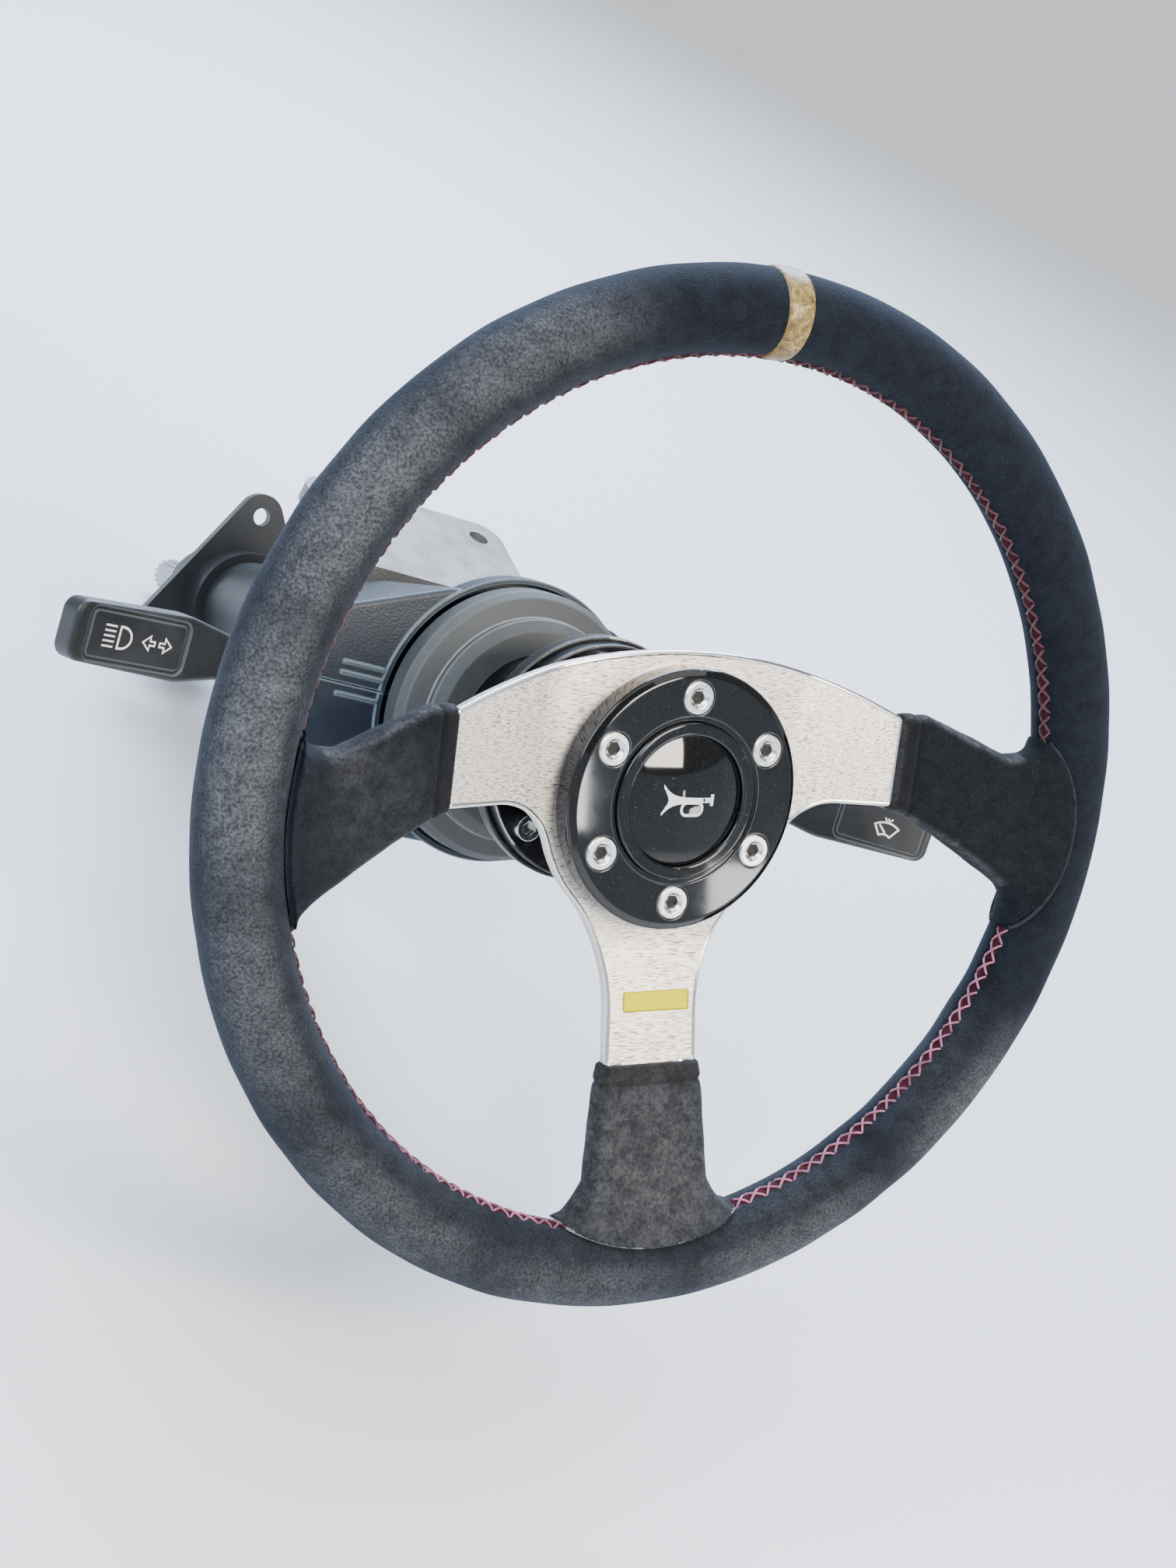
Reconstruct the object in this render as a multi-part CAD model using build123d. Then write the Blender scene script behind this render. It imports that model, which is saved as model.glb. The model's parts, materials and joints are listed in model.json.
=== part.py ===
from build123d import *
import math
import os

# A racing steering wheel on its hub extension and steering column, with the column switches.
# Millimetres and degrees. Everything is drawn in the column's own frame: x to the driver's right,
# y square to the column and upward, z along the column toward the driver, with z = 0 at the front
# of the black button ring. column_place leans that frame back and puts the origin in the middle of
# the dash bracket's bolt holes, on its top face.

# How the assembly sits in the car
column_tilt = 26.0  # column axis above the horizontal
wheel_turn = 11.0  # wheel turned to the left of straight ahead, as it was left
bracket_station = -263.0  # place of the dash bracket along the column
bracket_drop = 62.0  # column axis below the bracket's top face

# Clearances
seat_gap = 0.2  # trimmed or pressed parts that sit against one another
fit_gap = 0.05  # turned parts on one axis
wrap_gap = 0.05  # suede and paint round the rim
screw_gap = 0.2  # screws in their holes
seam_gap = 0.4  # between the two housing shells
shroud_gap = 1.0  # the housing's mouth is this much wider than the hub shroud in front of it

# Rim
rim_diameter = 350.0
grip_diameter = 28.0
rim_lift = 7.0  # middle of the rim in front of the button ring's face
mark_width = 11.0
mark_rise = 0.5
mark_place = 88.1  # middle of the mark, in degrees up from the wheel's right side

# Spoke plate
plate_thickness = 4.0
plate_depth = 9.0  # hub face of the plate behind the button ring's face
hub_disc_radius = 49.0
arch_end_height = 28.8
bare_reach = 88.0  # side spokes are bare metal out to here
side_spoke_low = -2.0
side_root_radius = 22.0
lower_root_radius = 56.0
lower_spoke_width = 35.5
lower_bare_reach = 92.0
tongue_width = 25.0  # spoke tongues inside the sleeves
tongue_fall = 23.0  # drop of the side tongues from the bare end to the rim
plate_hole_radius = 26.0
bend_radius = 44.0  # the plate's bends, on its front face
edge_break = 0.6

# Suede sleeves, one row per cross-section:
# outward place, height of its middle, turn of the section, section height, section thickness
side_sleeve = [
    (88.0, 13.4, 0.0, 33.6, 7.6),
    (98.0, 11.5, -13.0, 37.5, 9.6),
    (115.0, 3.6, -24.0, 38.0, 11.4),
    (131.0, -4.4, -20.0, 42.0, 14.5),
    (151.0, -9.5, -6.0, 64.0, 22.0),
]
lower_sleeve = [
    (92.0, 0.0, 0.0, 38.5, 7.6),
    (101.0, 0.0, 0.0, 42.5, 9.6),
    (117.0, 0.0, 0.0, 45.5, 11.4),
    (132.0, 0.0, 0.0, 48.0, 14.5),
    (150.0, 0.0, 0.0, 74.0, 23.0),
]
# Lobes of the sleeves over the rim, cut by hand and each a little different: centre and radius
right_lobe = (102.0, -7.5, 53.0)
left_lobe = (69.4, -3.0, 79.5)
lower_lobe = (73.6, 0.0, 77.0)
lobe_thickness = 1.0

# Button ring, horn button and wheel screws
ring_radius = 44.7
ring_bevel = 2.5  # the ring's outer bevel, inward
ring_bevel_depth = 1.2
ring_step = 1.6  # sunk lip round the bezel
ring_step_depth = 1.0
ring_bore = 27.2
screw_circle = 70.0
screw_count = 6
screw_head_radius = 5.8
screw_head_depth = 1.8
screw_head_rise = 0.3
screw_radius = 2.5
screw_length = 20.0
hex_socket = 4.0
socket_depth = 1.7
socket_dish = 3.6
bezel_radius = 27.0
bezel_bore = 22.3
bezel_rise = 0.9
button_radius = 22.0
button_rise = 2.2
button_flange_radius = 25.7

# Hub extension, boss and shroud
spacer_length = 50.0
spacer_flange_radius = 42.7
spacer_flange = 6.0
spacer_front_flange = 10.0
spacer_waist = 28.0
spacer_bore = 21.0
spacer_root = 3.0
spacer_bolt_circle = 72.0
spacer_bolt_first = 98.0  # the bolts sit a little round from the wheel screws
spacer_bolt_head = 4.6
spacer_bolt_head_height = 5.0
spacer_bolt_socket = 4.6
spacer_bolt_radius = 2.9
boss_flange_radius = 44.5
boss_flange = 6.0
boss_neck = 30.0
boss_throat = 35.0
boss_taper = 14.0
boss_length = 59.0
nut_recess_radius = 18.0
nut_recess_depth = 17.0
nut_width = 27.0
nut_thickness = 11.0
shroud_front = -106.0
shroud_face_radius = 42.7
shroud_land_radius = 49.7
shroud_radius = 52.0
shroud_back = -127.0
shroud_wall = 3.0
shroud_round = 0.8
flange_round = 0.8  # outer corners of the hub extension and the boss

# Steering shaft and column tube
shaft_radius = 10.0
shaft_top = -67.0
thread_radius = 8.9
shaft_overhang = 6.0  # full thickness past the tube's lower end
journal_radius = 9.0
journal_length = 30.0
spline_length = 24.0
spline_radius = 8.6
spline_root = 7.7
spline_teeth = 18
tube_radius = 23.0
tube_wall = 3.0
tube_top = -140.0
tube_length = 300.0
bearing_length = 13.0
bearing_inset = 2.0

# Column switches
housing_front = -129.0
housing_depth = 70.0
housing_half_width = 87.0
housing_wall = 3.0
housing_back_scale = 0.84
housing_corner = 12.0
housing_edge = 2.0
housing_shoulders = [(0.0, 20.0), (11.0, 29.0), (51.0, 44.5)]  # in from the side, height over the seam
housing_belly = [(57.0, -52.0), (17.0, -35.0), (0.0, -17.0)]
recess_depth = 5.0  # round recess for the shroud, behind the housing's front
recess_wall = 2.0
recess_rim_rise = 0.5
recess_floor = 2.5
recess_hole = 16.0
rib_length = 17.0  # moulded ribs beside the recess, on both sides of the seam
rib_height = 1.2
rib_rise = 0.8
rib_spacing = 4.0
block_width = 124.0
block_height = 26.0
block_collar_radius = 31.0
block_front = -147.0
block_depth = 28.0
housing_screw_x = 42.0
housing_screw_z = -161.0
housing_screw_radius = 2.0
housing_screw_head = 4.0
housing_screw_head_height = 2.6
housing_screw_pocket = 9.0
housing_screw_bite = 9.0
housing_post_wall = 2.4

# Stalks
stalk_root_z = -151.0
stalk_arm_radius = 4.4
stalk_bend_radius = 14.0
stalk_bend = 97.0  # the arm turns toward the driver here
stalk_elbow = 122.0  # and flattens out again here, inside the paddle
stalk_elbow_z = -122.0
stalk_paddle_start = 110.0
stalk_paddle_full = 141.0
stalk_tip = 186.5
stalk_lean = 20.7  # the paddle leans toward the driver
wiper_lift = 8.0  # the right stalk's paddle is nearer the driver than the left one's
wiper_turn = 2.4  # and hangs a little lower, turned about the arm's root
paddle_width = 23.5
paddle_root_width = 11.0
paddle_thickness = 9.0
paddle_edge = 1.6
paddle_panel_width = 15.6
light_panel = (41.5, 41.0)  # middle and length of the symbol panel, out from the elbow
wiper_panel = (47.0, 36.0)
panel_groove = 1.6  # sunk border round the panel
panel_groove_depth = 0.8
panel_sink = 0.25
panel_corner = 2.0
boot_radius = 8.5
boot_length = 9.0

# Dash bracket and lower flange
flange_width = 96.0
flange_length = 64.0
flange_thickness = 8.0
flange_corner = 10.0
mount_spacing_x = 70.0
mount_spacing_y = 38.0
mount_hole_radius = 4.5
barrel_radius = 31.0
barrel_length = 46.0
web_thickness = 7.0
web_spread = 19.0
ear_reach = 47.0
ear_thickness = 11.0
ear_bolt_x = 38.5
ear_bolt_spread = 26.0
ear_bolt_radius = 3.0
ear_bolt_head = 5.0
ear_bolt_head_height = 5.0
ear_bolt_socket = 5.0
ear_bolt_bite = 3.0
lower_flange_rise = 36.0  # flange above the tube's lower end
lower_flange_thickness = 5.0
lower_flange_circle = 88.0
lower_flange_holes = 3
lower_flange_hole_radius = 4.25
lower_flange_pad = 11.0
lower_collar_radius = 27.0
lower_collar_length = 14.0

# Places that follow from the sizes above
grip_radius = grip_diameter / 2
rim_radius = rim_diameter / 2 - grip_radius
rim_inner = rim_radius - grip_radius
plate_front = -plate_depth
plate_back = plate_front - plate_thickness
plate_middle = (plate_front + plate_back) / 2
plate_bend = hub_disc_radius
spoke_slope = math.degrees(math.atan2(rim_lift - plate_middle, rim_inner - plate_bend))
arch_drop = hub_disc_radius - arch_end_height
arch_radius = (bare_reach ** 2 + arch_drop ** 2) / (2 * arch_drop)
spacer_back = plate_back - spacer_length
boss_back = spacer_back - boss_length
nut_seat = spacer_back - nut_recess_depth
tube_bottom = tube_top - tube_length
lower_flange_station = tube_bottom + lower_flange_rise
shaft_shoulder = tube_bottom - shaft_overhang
shaft_bottom = shaft_shoulder - journal_length - spline_length
recess_radius = shroud_radius + shroud_gap
drum_radius = recess_radius + recess_wall
block_back = block_front - block_depth
below_housing = -housing_half_width
head_seat = -block_height / 2 - housing_screw_pocket
spacer_bolt_place = Pos(spacer_bolt_circle / 2, 0)

origin_y = bracket_station * math.cos(math.radians(column_tilt))
origin_z = -bracket_drop - bracket_station * math.sin(math.radians(column_tilt))
column_place = Location((0, origin_y, origin_z), (90 - column_tilt, 0, 0))
wheel_place = column_place * Location((0, 0, 0), (0, 0, wheel_turn))


def tube(outer, inner, low, high):
    return Pos(0, 0, low) * extrude(Circle(outer) - Circle(inner), high - low)


def rod(radius, low, high):
    return Pos(0, 0, low) * extrude(Circle(radius), high - low)


def turned(points):
    """Solid of revolution from an outline of (radius, z) points."""
    outline = make_face(Polyline(*points, close=True))
    return revolve(Plane.XZ * outline, Axis.Z)


def hex_hole(across_flats, low, depth):
    return Pos(0, 0, low) * extrude(RegularPolygon(across_flats / 2, 6, major_radius=False), depth)


def around(piece, count, first=90.0):
    """Copies of a piece evenly spaced around the column axis."""
    return [Rot(0, 0, first + 360.0 * i / count) * piece for i in range(count)]


def rim_solid(radius):
    return Pos(0, 0, rim_lift) * Torus(rim_radius, radius)


# Rim

def rim_grip():
    return rim_solid(grip_radius)


def centre_mark():
    sweep_angle = math.degrees(mark_width / rim_radius)
    section = Pos(rim_radius, rim_lift) * (Circle(grip_radius + mark_rise) - Circle(grip_radius + wrap_gap))
    band = revolve(Plane.XZ * section, Axis.Z, sweep_angle)
    return Rot(0, 0, mark_place - sweep_angle / 2) * band


# Spoke plate

def plate_outline():
    arch = Pos(0, hub_disc_radius - arch_radius) * Circle(arch_radius)
    band_height = hub_disc_radius - side_spoke_low
    band = Pos(0, side_spoke_low + band_height / 2) * Rectangle(2 * bare_reach, band_height)
    lower = Pos(0, -lower_bare_reach / 2) * Rectangle(lower_spoke_width, lower_bare_reach)
    outline = (arch & band) + Circle(hub_disc_radius) + lower
    roots = outline.vertices().filter_by(lambda v: v.Y < 0 and abs(v.X) < hub_disc_radius)
    side_roots = [v for v in roots if abs(v.Y - side_spoke_low) < 0.01]
    outline = fillet(side_roots, side_root_radius)
    lower_x = lower_spoke_width / 2
    lower_y = -math.sqrt(hub_disc_radius ** 2 - lower_x ** 2)
    lower_roots = [v for v in outline.vertices() if abs(v.Y - lower_y) < 0.01]
    return fillet(lower_roots, lower_root_radius)


def tongue_outline():
    reach = rim_inner - seat_gap
    top = arch_end_height - edge_break
    inner_low = side_spoke_low + edge_break
    end_top = top - tongue_fall
    side = Polygon((bare_reach - 8, top - 2), (reach, end_top), (reach, end_top - tongue_width),
                   (bare_reach - 8, inner_low), align=None)
    lower_half = tongue_width / 2
    lower = Polygon((-lower_half, -lower_bare_reach + 8), (-lower_half, -reach), (lower_half, -reach),
                    (lower_half, -lower_bare_reach + 8), align=None)
    return (side + mirror(side, Plane.YZ) + lower) & Circle(reach)


def dished_sheet():
    """The bent sheet that the plate is cut from: flat at the hub, with three spokes leaning forward."""
    run = rim_radius - plate_bend
    rise = run * math.tan(math.radians(spoke_slope))
    flat_reach = plate_bend - bend_radius * math.tan(math.radians(spoke_slope / 2))
    across = [(0, plate_back), (plate_bend, plate_back), (rim_radius, plate_back + rise),
              (rim_radius, plate_front + rise), (plate_bend, plate_front), (0, plate_front)]
    half = make_face(Polyline(*across, close=True))
    for radius, face in ((bend_radius + plate_thickness, plate_back), (bend_radius, plate_front)):
        bend = [v for v in half.vertices() if math.dist((v.X, v.Y), (plate_bend, face)) < 0.01]
        half = fillet(bend, radius)
    wing = extrude(Plane.XZ * half, rim_radius, both=True)
    flat_zone = Pos(0, rim_radius - flat_reach) * Box(4 * rim_radius, 2 * rim_radius, 4 * rim_radius)
    wings = (wing + mirror(wing, Plane.YZ)) & flat_zone
    leg = extrude(Plane.YZ * mirror(half, Plane.YZ), plate_bend, both=True)
    leg_zone = Pos(0, -flat_reach - rim_radius) * Box(4 * rim_radius, 2 * rim_radius, 4 * rim_radius)
    return wings + (leg & leg_zone)


def spoke_plate():
    outline = plate_outline() + tongue_outline()
    blank = Pos(0, 0, -rim_radius) * extrude(outline, 2 * rim_radius)
    plate = dished_sheet() & blank
    plate -= rod(plate_hole_radius, plate_back - 1, plate_front + 1)
    hole = Pos(screw_circle / 2, 0) * rod(screw_radius + screw_gap, plate_back - 1, plate_front + 1)
    return plate - around(hole, screw_count)


# Suede sleeves

def sleeve_section(row, middle_z):
    out, height, turn, width, thickness = row
    lean = math.radians(spoke_slope)
    turn = math.radians(turn)
    flat = Vector(math.cos(turn), math.sin(turn), 0)
    along = Vector(flat.X * math.cos(lean), flat.Y * math.cos(lean), math.sin(lean))
    across = Vector(-math.sin(turn), math.cos(turn), 0)
    section = Plane(origin=(out, height, middle_z), x_dir=across, z_dir=along)
    return section * RectangleRounded(width, thickness, thickness / 2 - 0.3)


def sleeve(rows, lobe):
    """A sleeve along +x: a loft over the spoke and a thin lobe laid on the rim."""
    slope = math.tan(math.radians(spoke_slope))
    sections = [sleeve_section(row, plate_middle + slope * (row[0] - plate_bend)) for row in rows]
    body = loft(sections)
    lobe_x, lobe_y, lobe_radius = lobe
    lobe_zone = Pos(lobe_x, lobe_y) * rod(lobe_radius, -rim_radius, rim_radius)
    body += rim_solid(grip_radius + lobe_thickness) & lobe_zone
    return body - rim_solid(grip_radius + wrap_gap)


def spoke_sleeve_right(plate):
    return sleeve(side_sleeve, right_lobe) - plate


def spoke_sleeve_left(plate):
    return mirror(sleeve(side_sleeve, left_lobe), Plane.YZ) - plate


def spoke_sleeve_lower(plate):
    return Rot(0, 0, -90) * sleeve(lower_sleeve, lower_lobe) - plate


# Button ring and horn button

def button_ring():
    outline = make_face(Polyline(
        (ring_bore, plate_front), (ring_radius, plate_front), (ring_radius, -ring_bevel_depth),
        (ring_radius - ring_bevel, 0), (ring_bore + ring_step, 0),
        (ring_bore + ring_step, -ring_step_depth), (ring_bore, -ring_step_depth), close=True))
    shoulders = [v for v in outline.vertices() if v.X > ring_radius - ring_bevel - 0.1 and v.Y > plate_front / 2]
    outline = fillet(shoulders, ring_bevel_depth)
    ring = revolve(Plane.XZ * outline, Axis.Z)
    pocket = rod(screw_head_radius + screw_gap, -screw_head_depth, 1)
    pocket += rod(screw_radius + screw_gap, plate_front - 1, 1)
    return ring - around(Pos(screw_circle / 2, 0) * pocket, screw_count)


def wheel_screw():
    head = rod(screw_head_radius, -screw_head_depth, screw_head_rise)
    head = chamfer(head.edges().sort_by(Axis.Z)[-1], 0.5)
    socket = hex_hole(hex_socket, screw_head_rise - socket_depth, socket_depth + 1)
    dish_depth = (screw_head_rise + screw_head_depth) / 2
    dish = Pos(0, 0, screw_head_rise) * Cone(socket_dish - dish_depth, socket_dish, dish_depth,
                                             align=(Align.CENTER, Align.CENTER, Align.MAX))
    return head - socket - dish + rod(screw_radius, -screw_length, -screw_head_depth)


def wheel_screws():
    return around(Pos(screw_circle / 2, 0) * wheel_screw(), screw_count)


def horn_bezel():
    bezel = tube(bezel_radius, bezel_bore, plate_front, bezel_rise)
    return fillet(bezel.edges().sort_by(Axis.Z)[-2:], 1.0)


def horn_button():
    body = rod(button_radius, plate_front, -1.0)
    dome_radius = (button_radius ** 2 + (button_rise + 1.0) ** 2) / (2 * (button_rise + 1.0))
    dome = Pos(0, 0, button_rise - dome_radius) * Sphere(dome_radius)
    dome &= rod(button_radius, -1.0, button_rise + 1)
    return body + dome + rod(button_flange_radius, plate_back, plate_front)


# Hub extension, boss and shroud

def hub_spacer():
    front_in = plate_back - spacer_front_flange
    back_in = spacer_back + spacer_flange
    outline = make_face(Polyline(
        (spacer_bore, plate_back), (spacer_flange_radius, plate_back), (spacer_flange_radius, front_in),
        (spacer_waist, front_in), (spacer_waist, back_in), (spacer_flange_radius, back_in),
        (spacer_flange_radius, spacer_back), (spacer_bore, spacer_back), close=True))
    roots = [v for v in outline.vertices() if abs(v.X - spacer_waist) < 0.01]
    outline = fillet(roots, spacer_root)
    rims = [v for v in outline.vertices() if v.X > spacer_flange_radius - 0.01]
    spacer = revolve(Plane.XZ * fillet(rims, flange_round), Axis.Z)
    thread = Pos(screw_circle / 2, 0) * rod(screw_radius + screw_gap, front_in - 1, plate_back + 1)
    spacer -= around(thread, screw_count)
    hole = spacer_bolt_place * rod(spacer_bolt_radius + screw_gap, spacer_back - 1, back_in + 1)
    return spacer - around(hole, screw_count, spacer_bolt_first)


def spacer_bolts():
    seat = spacer_back + spacer_flange
    head = rod(spacer_bolt_head, seat, seat + spacer_bolt_head_height)
    socket = hex_hole(spacer_bolt_socket, seat + spacer_bolt_head_height / 2, spacer_bolt_head_height)
    shank = rod(spacer_bolt_radius, spacer_back - boss_flange, seat)
    return around(spacer_bolt_place * (head - socket + shank), screw_count, spacer_bolt_first)


def hub_boss():
    flange_back = spacer_back - boss_flange
    outline = make_face(Polyline(
        (shaft_radius + fit_gap, nut_seat), (nut_recess_radius, nut_seat), (nut_recess_radius, spacer_back),
        (boss_flange_radius, spacer_back), (boss_flange_radius, flange_back), (boss_throat, flange_back),
        (boss_neck, flange_back - boss_taper), (boss_neck, boss_back), (shaft_radius + fit_gap, boss_back),
        close=True))
    throat = outline.vertices().filter_by(lambda v: abs(v.X - boss_throat) < 0.01)
    outline = fillet(throat, spacer_root)
    rims = outline.vertices().filter_by(lambda v: v.X > boss_flange_radius - 0.01)
    boss = revolve(Plane.XZ * fillet(rims, flange_round), Axis.Z)
    hole = spacer_bolt_place * rod(spacer_bolt_radius + screw_gap, flange_back - 1, spacer_back + 1)
    return boss - around(hole, screw_count, spacer_bolt_first)


def hub_shroud():
    bore = boss_neck + fit_gap
    face_step = shroud_front - 4.0
    land = shroud_front - 9.5
    wall = shroud_wall
    outer = [(shroud_face_radius - 4, shroud_front - 1), (shroud_face_radius, face_step),
             (shroud_land_radius, land), (shroud_radius, land - 3), (shroud_radius, shroud_back)]
    outline = make_face(Polyline(
        (bore, shroud_front), outer[0], outer[1], (shroud_face_radius, face_step - 3), *outer[2:],
        (shroud_radius - wall, shroud_back), (shroud_radius - wall, land - 4),
        (shroud_land_radius - wall, land - wall), (shroud_face_radius - wall, face_step - 3 - wall),
        (shroud_face_radius - wall, face_step - wall), (bore, shroud_front - wall - 1.5), close=True))
    corners = [v for v in outline.vertices() if any(math.dist((v.X, v.Y), place) < 0.01 for place in outer)]
    return revolve(Plane.XZ * fillet(corners, shroud_round), Axis.Z)


# Steering shaft

def spline_profile():
    tooth_width = math.pi * spline_root / spline_teeth
    tooth_height = spline_radius - spline_root
    tooth = Pos(spline_root + tooth_height / 2 - 0.2, 0) * Rectangle(tooth_height + 0.4, tooth_width)
    teeth = [Rot(0, 0, 360.0 * i / spline_teeth) * tooth for i in range(spline_teeth)]
    return (Circle(spline_root) + teeth) & Circle(spline_radius)


def steering_shaft():
    shaft = rod(shaft_radius, shaft_shoulder, nut_seat)
    shaft += rod(thread_radius, nut_seat, shaft_top)
    shaft += rod(journal_radius, shaft_shoulder - journal_length, shaft_shoulder)
    shaft += Pos(0, 0, shaft_bottom) * extrude(spline_profile(), spline_length)
    return shaft


def shaft_nut():
    nut = Pos(0, 0, nut_seat) * extrude(RegularPolygon(nut_width / 2, 6, major_radius=False), nut_thickness)
    nut &= turned([(0, nut_seat), (nut_width * 0.55, nut_seat), (nut_width * 0.578, nut_seat + 2),
                   (nut_width * 0.578, nut_seat + nut_thickness - 2),
                   (nut_width * 0.5, nut_seat + nut_thickness), (0, nut_seat + nut_thickness)])
    return nut - rod(thread_radius + fit_gap, nut_seat - 1, nut_seat + nut_thickness + 1)


# Column tube and bearings

def column_tube():
    return tube(tube_radius, tube_radius - tube_wall, tube_bottom, tube_top)


def bearing(top):
    ring = tube(tube_radius - tube_wall - fit_gap, shaft_radius + fit_gap, top - bearing_length, top)
    groove = tube(tube_radius - tube_wall - 3, shaft_radius + 3, top - 1, top + 1)
    return ring - groove - Pos(0, 0, -bearing_length) * groove


# Column switch housing

def housing_outline():
    """Front view of the housing: shoulders over the stalks and a deeper belly."""
    side = [(housing_half_width - x, y) for x, y in housing_shoulders]
    belly = [(housing_half_width - x, y) for x, y in housing_belly]
    points = side + [(-x, y) for x, y in reversed(side)] + [(-x, y) for x, y in reversed(belly)] + belly
    outline = make_face(Polyline(*points, close=True))
    return fillet(outline.vertices(), housing_corner)


def housing_block(inset):
    """The housing as a solid that narrows to the back, drawn in by inset on every side."""
    front = offset(housing_outline(), -inset) if inset else housing_outline()
    sections = [Pos(0, 0, housing_front - inset) * front,
                Pos(0, 0, housing_front - housing_depth + inset) * scale(front, housing_back_scale)]
    return loft(sections)


def seam_ribs():
    """Low ribs on the housing's front, between the recess and the stalk on each side."""
    rib = Box(rib_length, rib_height, 2 * rib_rise)
    start = drum_radius + rib_length / 2
    return [Pos(x, y, housing_front) * rib for x in (-start, start)
            for y in (-rib_spacing, rib_spacing, 2 * rib_spacing)]


def seam_side(top):
    """Everything on one side of the seam, less half the seam's gap."""
    size = 4 * housing_half_width
    sign = 1 if top else -1
    return Pos(0, sign * (size + seam_gap) / 2, housing_front) * Box(size, size, size)


def stalk_slot():
    size = 2 * (boot_radius + seat_gap)
    slot = Pos(housing_half_width, 0, stalk_root_z) * Box(40, size, size)
    return slot + mirror(slot, Plane.YZ)


def housing():
    """Both shells in one, before the seam divides them."""
    back = housing_front - housing_depth
    recess_back = housing_front - recess_depth
    drum = rod(drum_radius, recess_back - recess_floor, housing_front + recess_rim_rise)
    outer = housing_block(0)
    soft = outer.edges().filter_by_position(Axis.Z, housing_front - 0.01, housing_front + 0.01)
    body = fillet(soft, housing_edge) + seam_ribs() + drum - (housing_block(housing_wall) - drum)
    body -= rod(recess_radius, recess_back, housing_front + recess_rim_rise + 1)
    body -= rod(recess_hole, recess_back - recess_floor - 1, recess_back + 1)
    body -= rod(tube_radius + seat_gap, back - 1, back + 2 * housing_wall)
    for x in (-housing_screw_x, housing_screw_x):
        body += housing_post(x) & outer
        body -= housing_post_hole(x)
    return body - stalk_slot()


def upright(radius, x, low, high):
    """A round bar square to the column, from low to high across it."""
    return Pos(x, low, housing_screw_z) * Rot(-90, 0, 0) * extrude(Circle(radius), high - low)


def housing_post(x):
    return upright(housing_screw_head + housing_post_wall, x, below_housing, -block_height / 2)


def housing_post_hole(x):
    pocket = upright(housing_screw_head + screw_gap, x, below_housing, head_seat)
    return pocket + upright(housing_screw_radius + screw_gap, x, below_housing, 0)


def housing_screws():
    screws = []
    for x in (-housing_screw_x, housing_screw_x):
        head = upright(housing_screw_head, x, head_seat - housing_screw_head_height, head_seat)
        shank = upright(housing_screw_radius, x, head_seat, -block_height / 2 + housing_screw_bite)
        screws.append(head + shank)
    return screws


def switch_body():
    outline = RectangleRounded(block_width, block_height, 4.0) + Circle(block_collar_radius)
    block = Pos(0, 0, block_back) * extrude(outline - Circle(tube_radius + fit_gap), block_depth)
    for x in (-housing_screw_x, housing_screw_x):
        block -= upright(housing_screw_radius + screw_gap / 2, x, below_housing,
                         -block_height / 2 + housing_screw_bite + 1)
    return block


# Stalks

def paddle_outline(start, full, tip):
    """Side view of the paddle, along its own length."""
    half, root = paddle_width / 2, paddle_root_width / 2
    outline = make_face(Polyline((start, -root), (full, -half), (tip, -half + 1.5), (tip, half - 1.5),
                                 (full, half), (start, root), close=True))
    tips = [v for v in outline.vertices() if v.X > tip - 0.01]
    outline = fillet(tips, 5.0)
    shoulders = [v for v in outline.vertices() if abs(v.X - full) < 0.01]
    return fillet(shoulders, 25.0)


def panel(middle, length, border):
    """Outline of the symbol panel on a paddle, or of the groove round it."""
    plate = RectangleRounded(length + 2 * border, paddle_panel_width + 2 * border, panel_corner + border)
    return Pos(middle, 0, paddle_thickness / 2) * plate


def stalk(elbow_z, middle, length):
    """A stalk on the right side: a round arm with two bends, and a flat paddle with a sunk panel."""
    lean = math.radians(stalk_lean)
    end = Vector(stalk_elbow + 12.0, 0, elbow_z + 12.0 * math.tan(lean))
    path = FilletPolyline((block_width / 2, 0, stalk_root_z), (stalk_bend, 0, stalk_root_z),
                          (stalk_elbow, 0, elbow_z), end, radius=stalk_bend_radius)
    arm = sweep(Plane(path @ 0, z_dir=path % 0) * Circle(stalk_arm_radius), path)

    def along(x):
        return (x - stalk_elbow) / math.cos(lean)
    outline = paddle_outline(along(stalk_paddle_start), along(stalk_paddle_full), along(stalk_tip))
    blade = Pos(0, 0, -paddle_thickness / 2) * extrude(outline, paddle_thickness)
    blade = fillet(blade.edges(), paddle_edge)
    blade -= extrude(panel(middle, length, panel_groove), -panel_groove_depth)
    raised = extrude(panel(middle, length, 0.0), -panel_groove_depth)
    blade += raised - extrude(panel(middle, length, 1.0), -panel_sink)
    return arm + Pos(stalk_elbow, 0, elbow_z) * Rot(0, -stalk_lean, 0) * blade


def light_stalk():
    return mirror(stalk(stalk_elbow_z, *light_panel), Plane.YZ)


def wiper_stalk():
    root = Pos(0, 0, stalk_root_z)
    return root * Rot(wiper_turn, 0, 0) * root.inverse() * stalk(stalk_elbow_z + wiper_lift, *wiper_panel)


def stalk_boot():
    """Rubber boot that closes the slot round the arm."""
    start = block_width / 2
    end = housing_half_width - 4.0
    boot = extrude(Plane.YZ * Circle(boot_radius), end - start)
    neck = Pos(end - start, 0, 0) * extrude(Plane.YZ * Circle(stalk_arm_radius + 2.0), boot_length - 3.0)
    bore = Pos(-1, 0, 0) * extrude(Plane.YZ * Circle(stalk_arm_radius + fit_gap), 2 * boot_length + end - start)
    return Pos(start, 0, stalk_root_z) * (boot + neck - bore)


# Dash bracket

def square_bar(x, y, low, high, station):
    """A block on the bracket, centred on the column, from low to high across it."""
    return Pos(0, (low + high) / 2, station) * Box(x, high - low, y)


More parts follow.
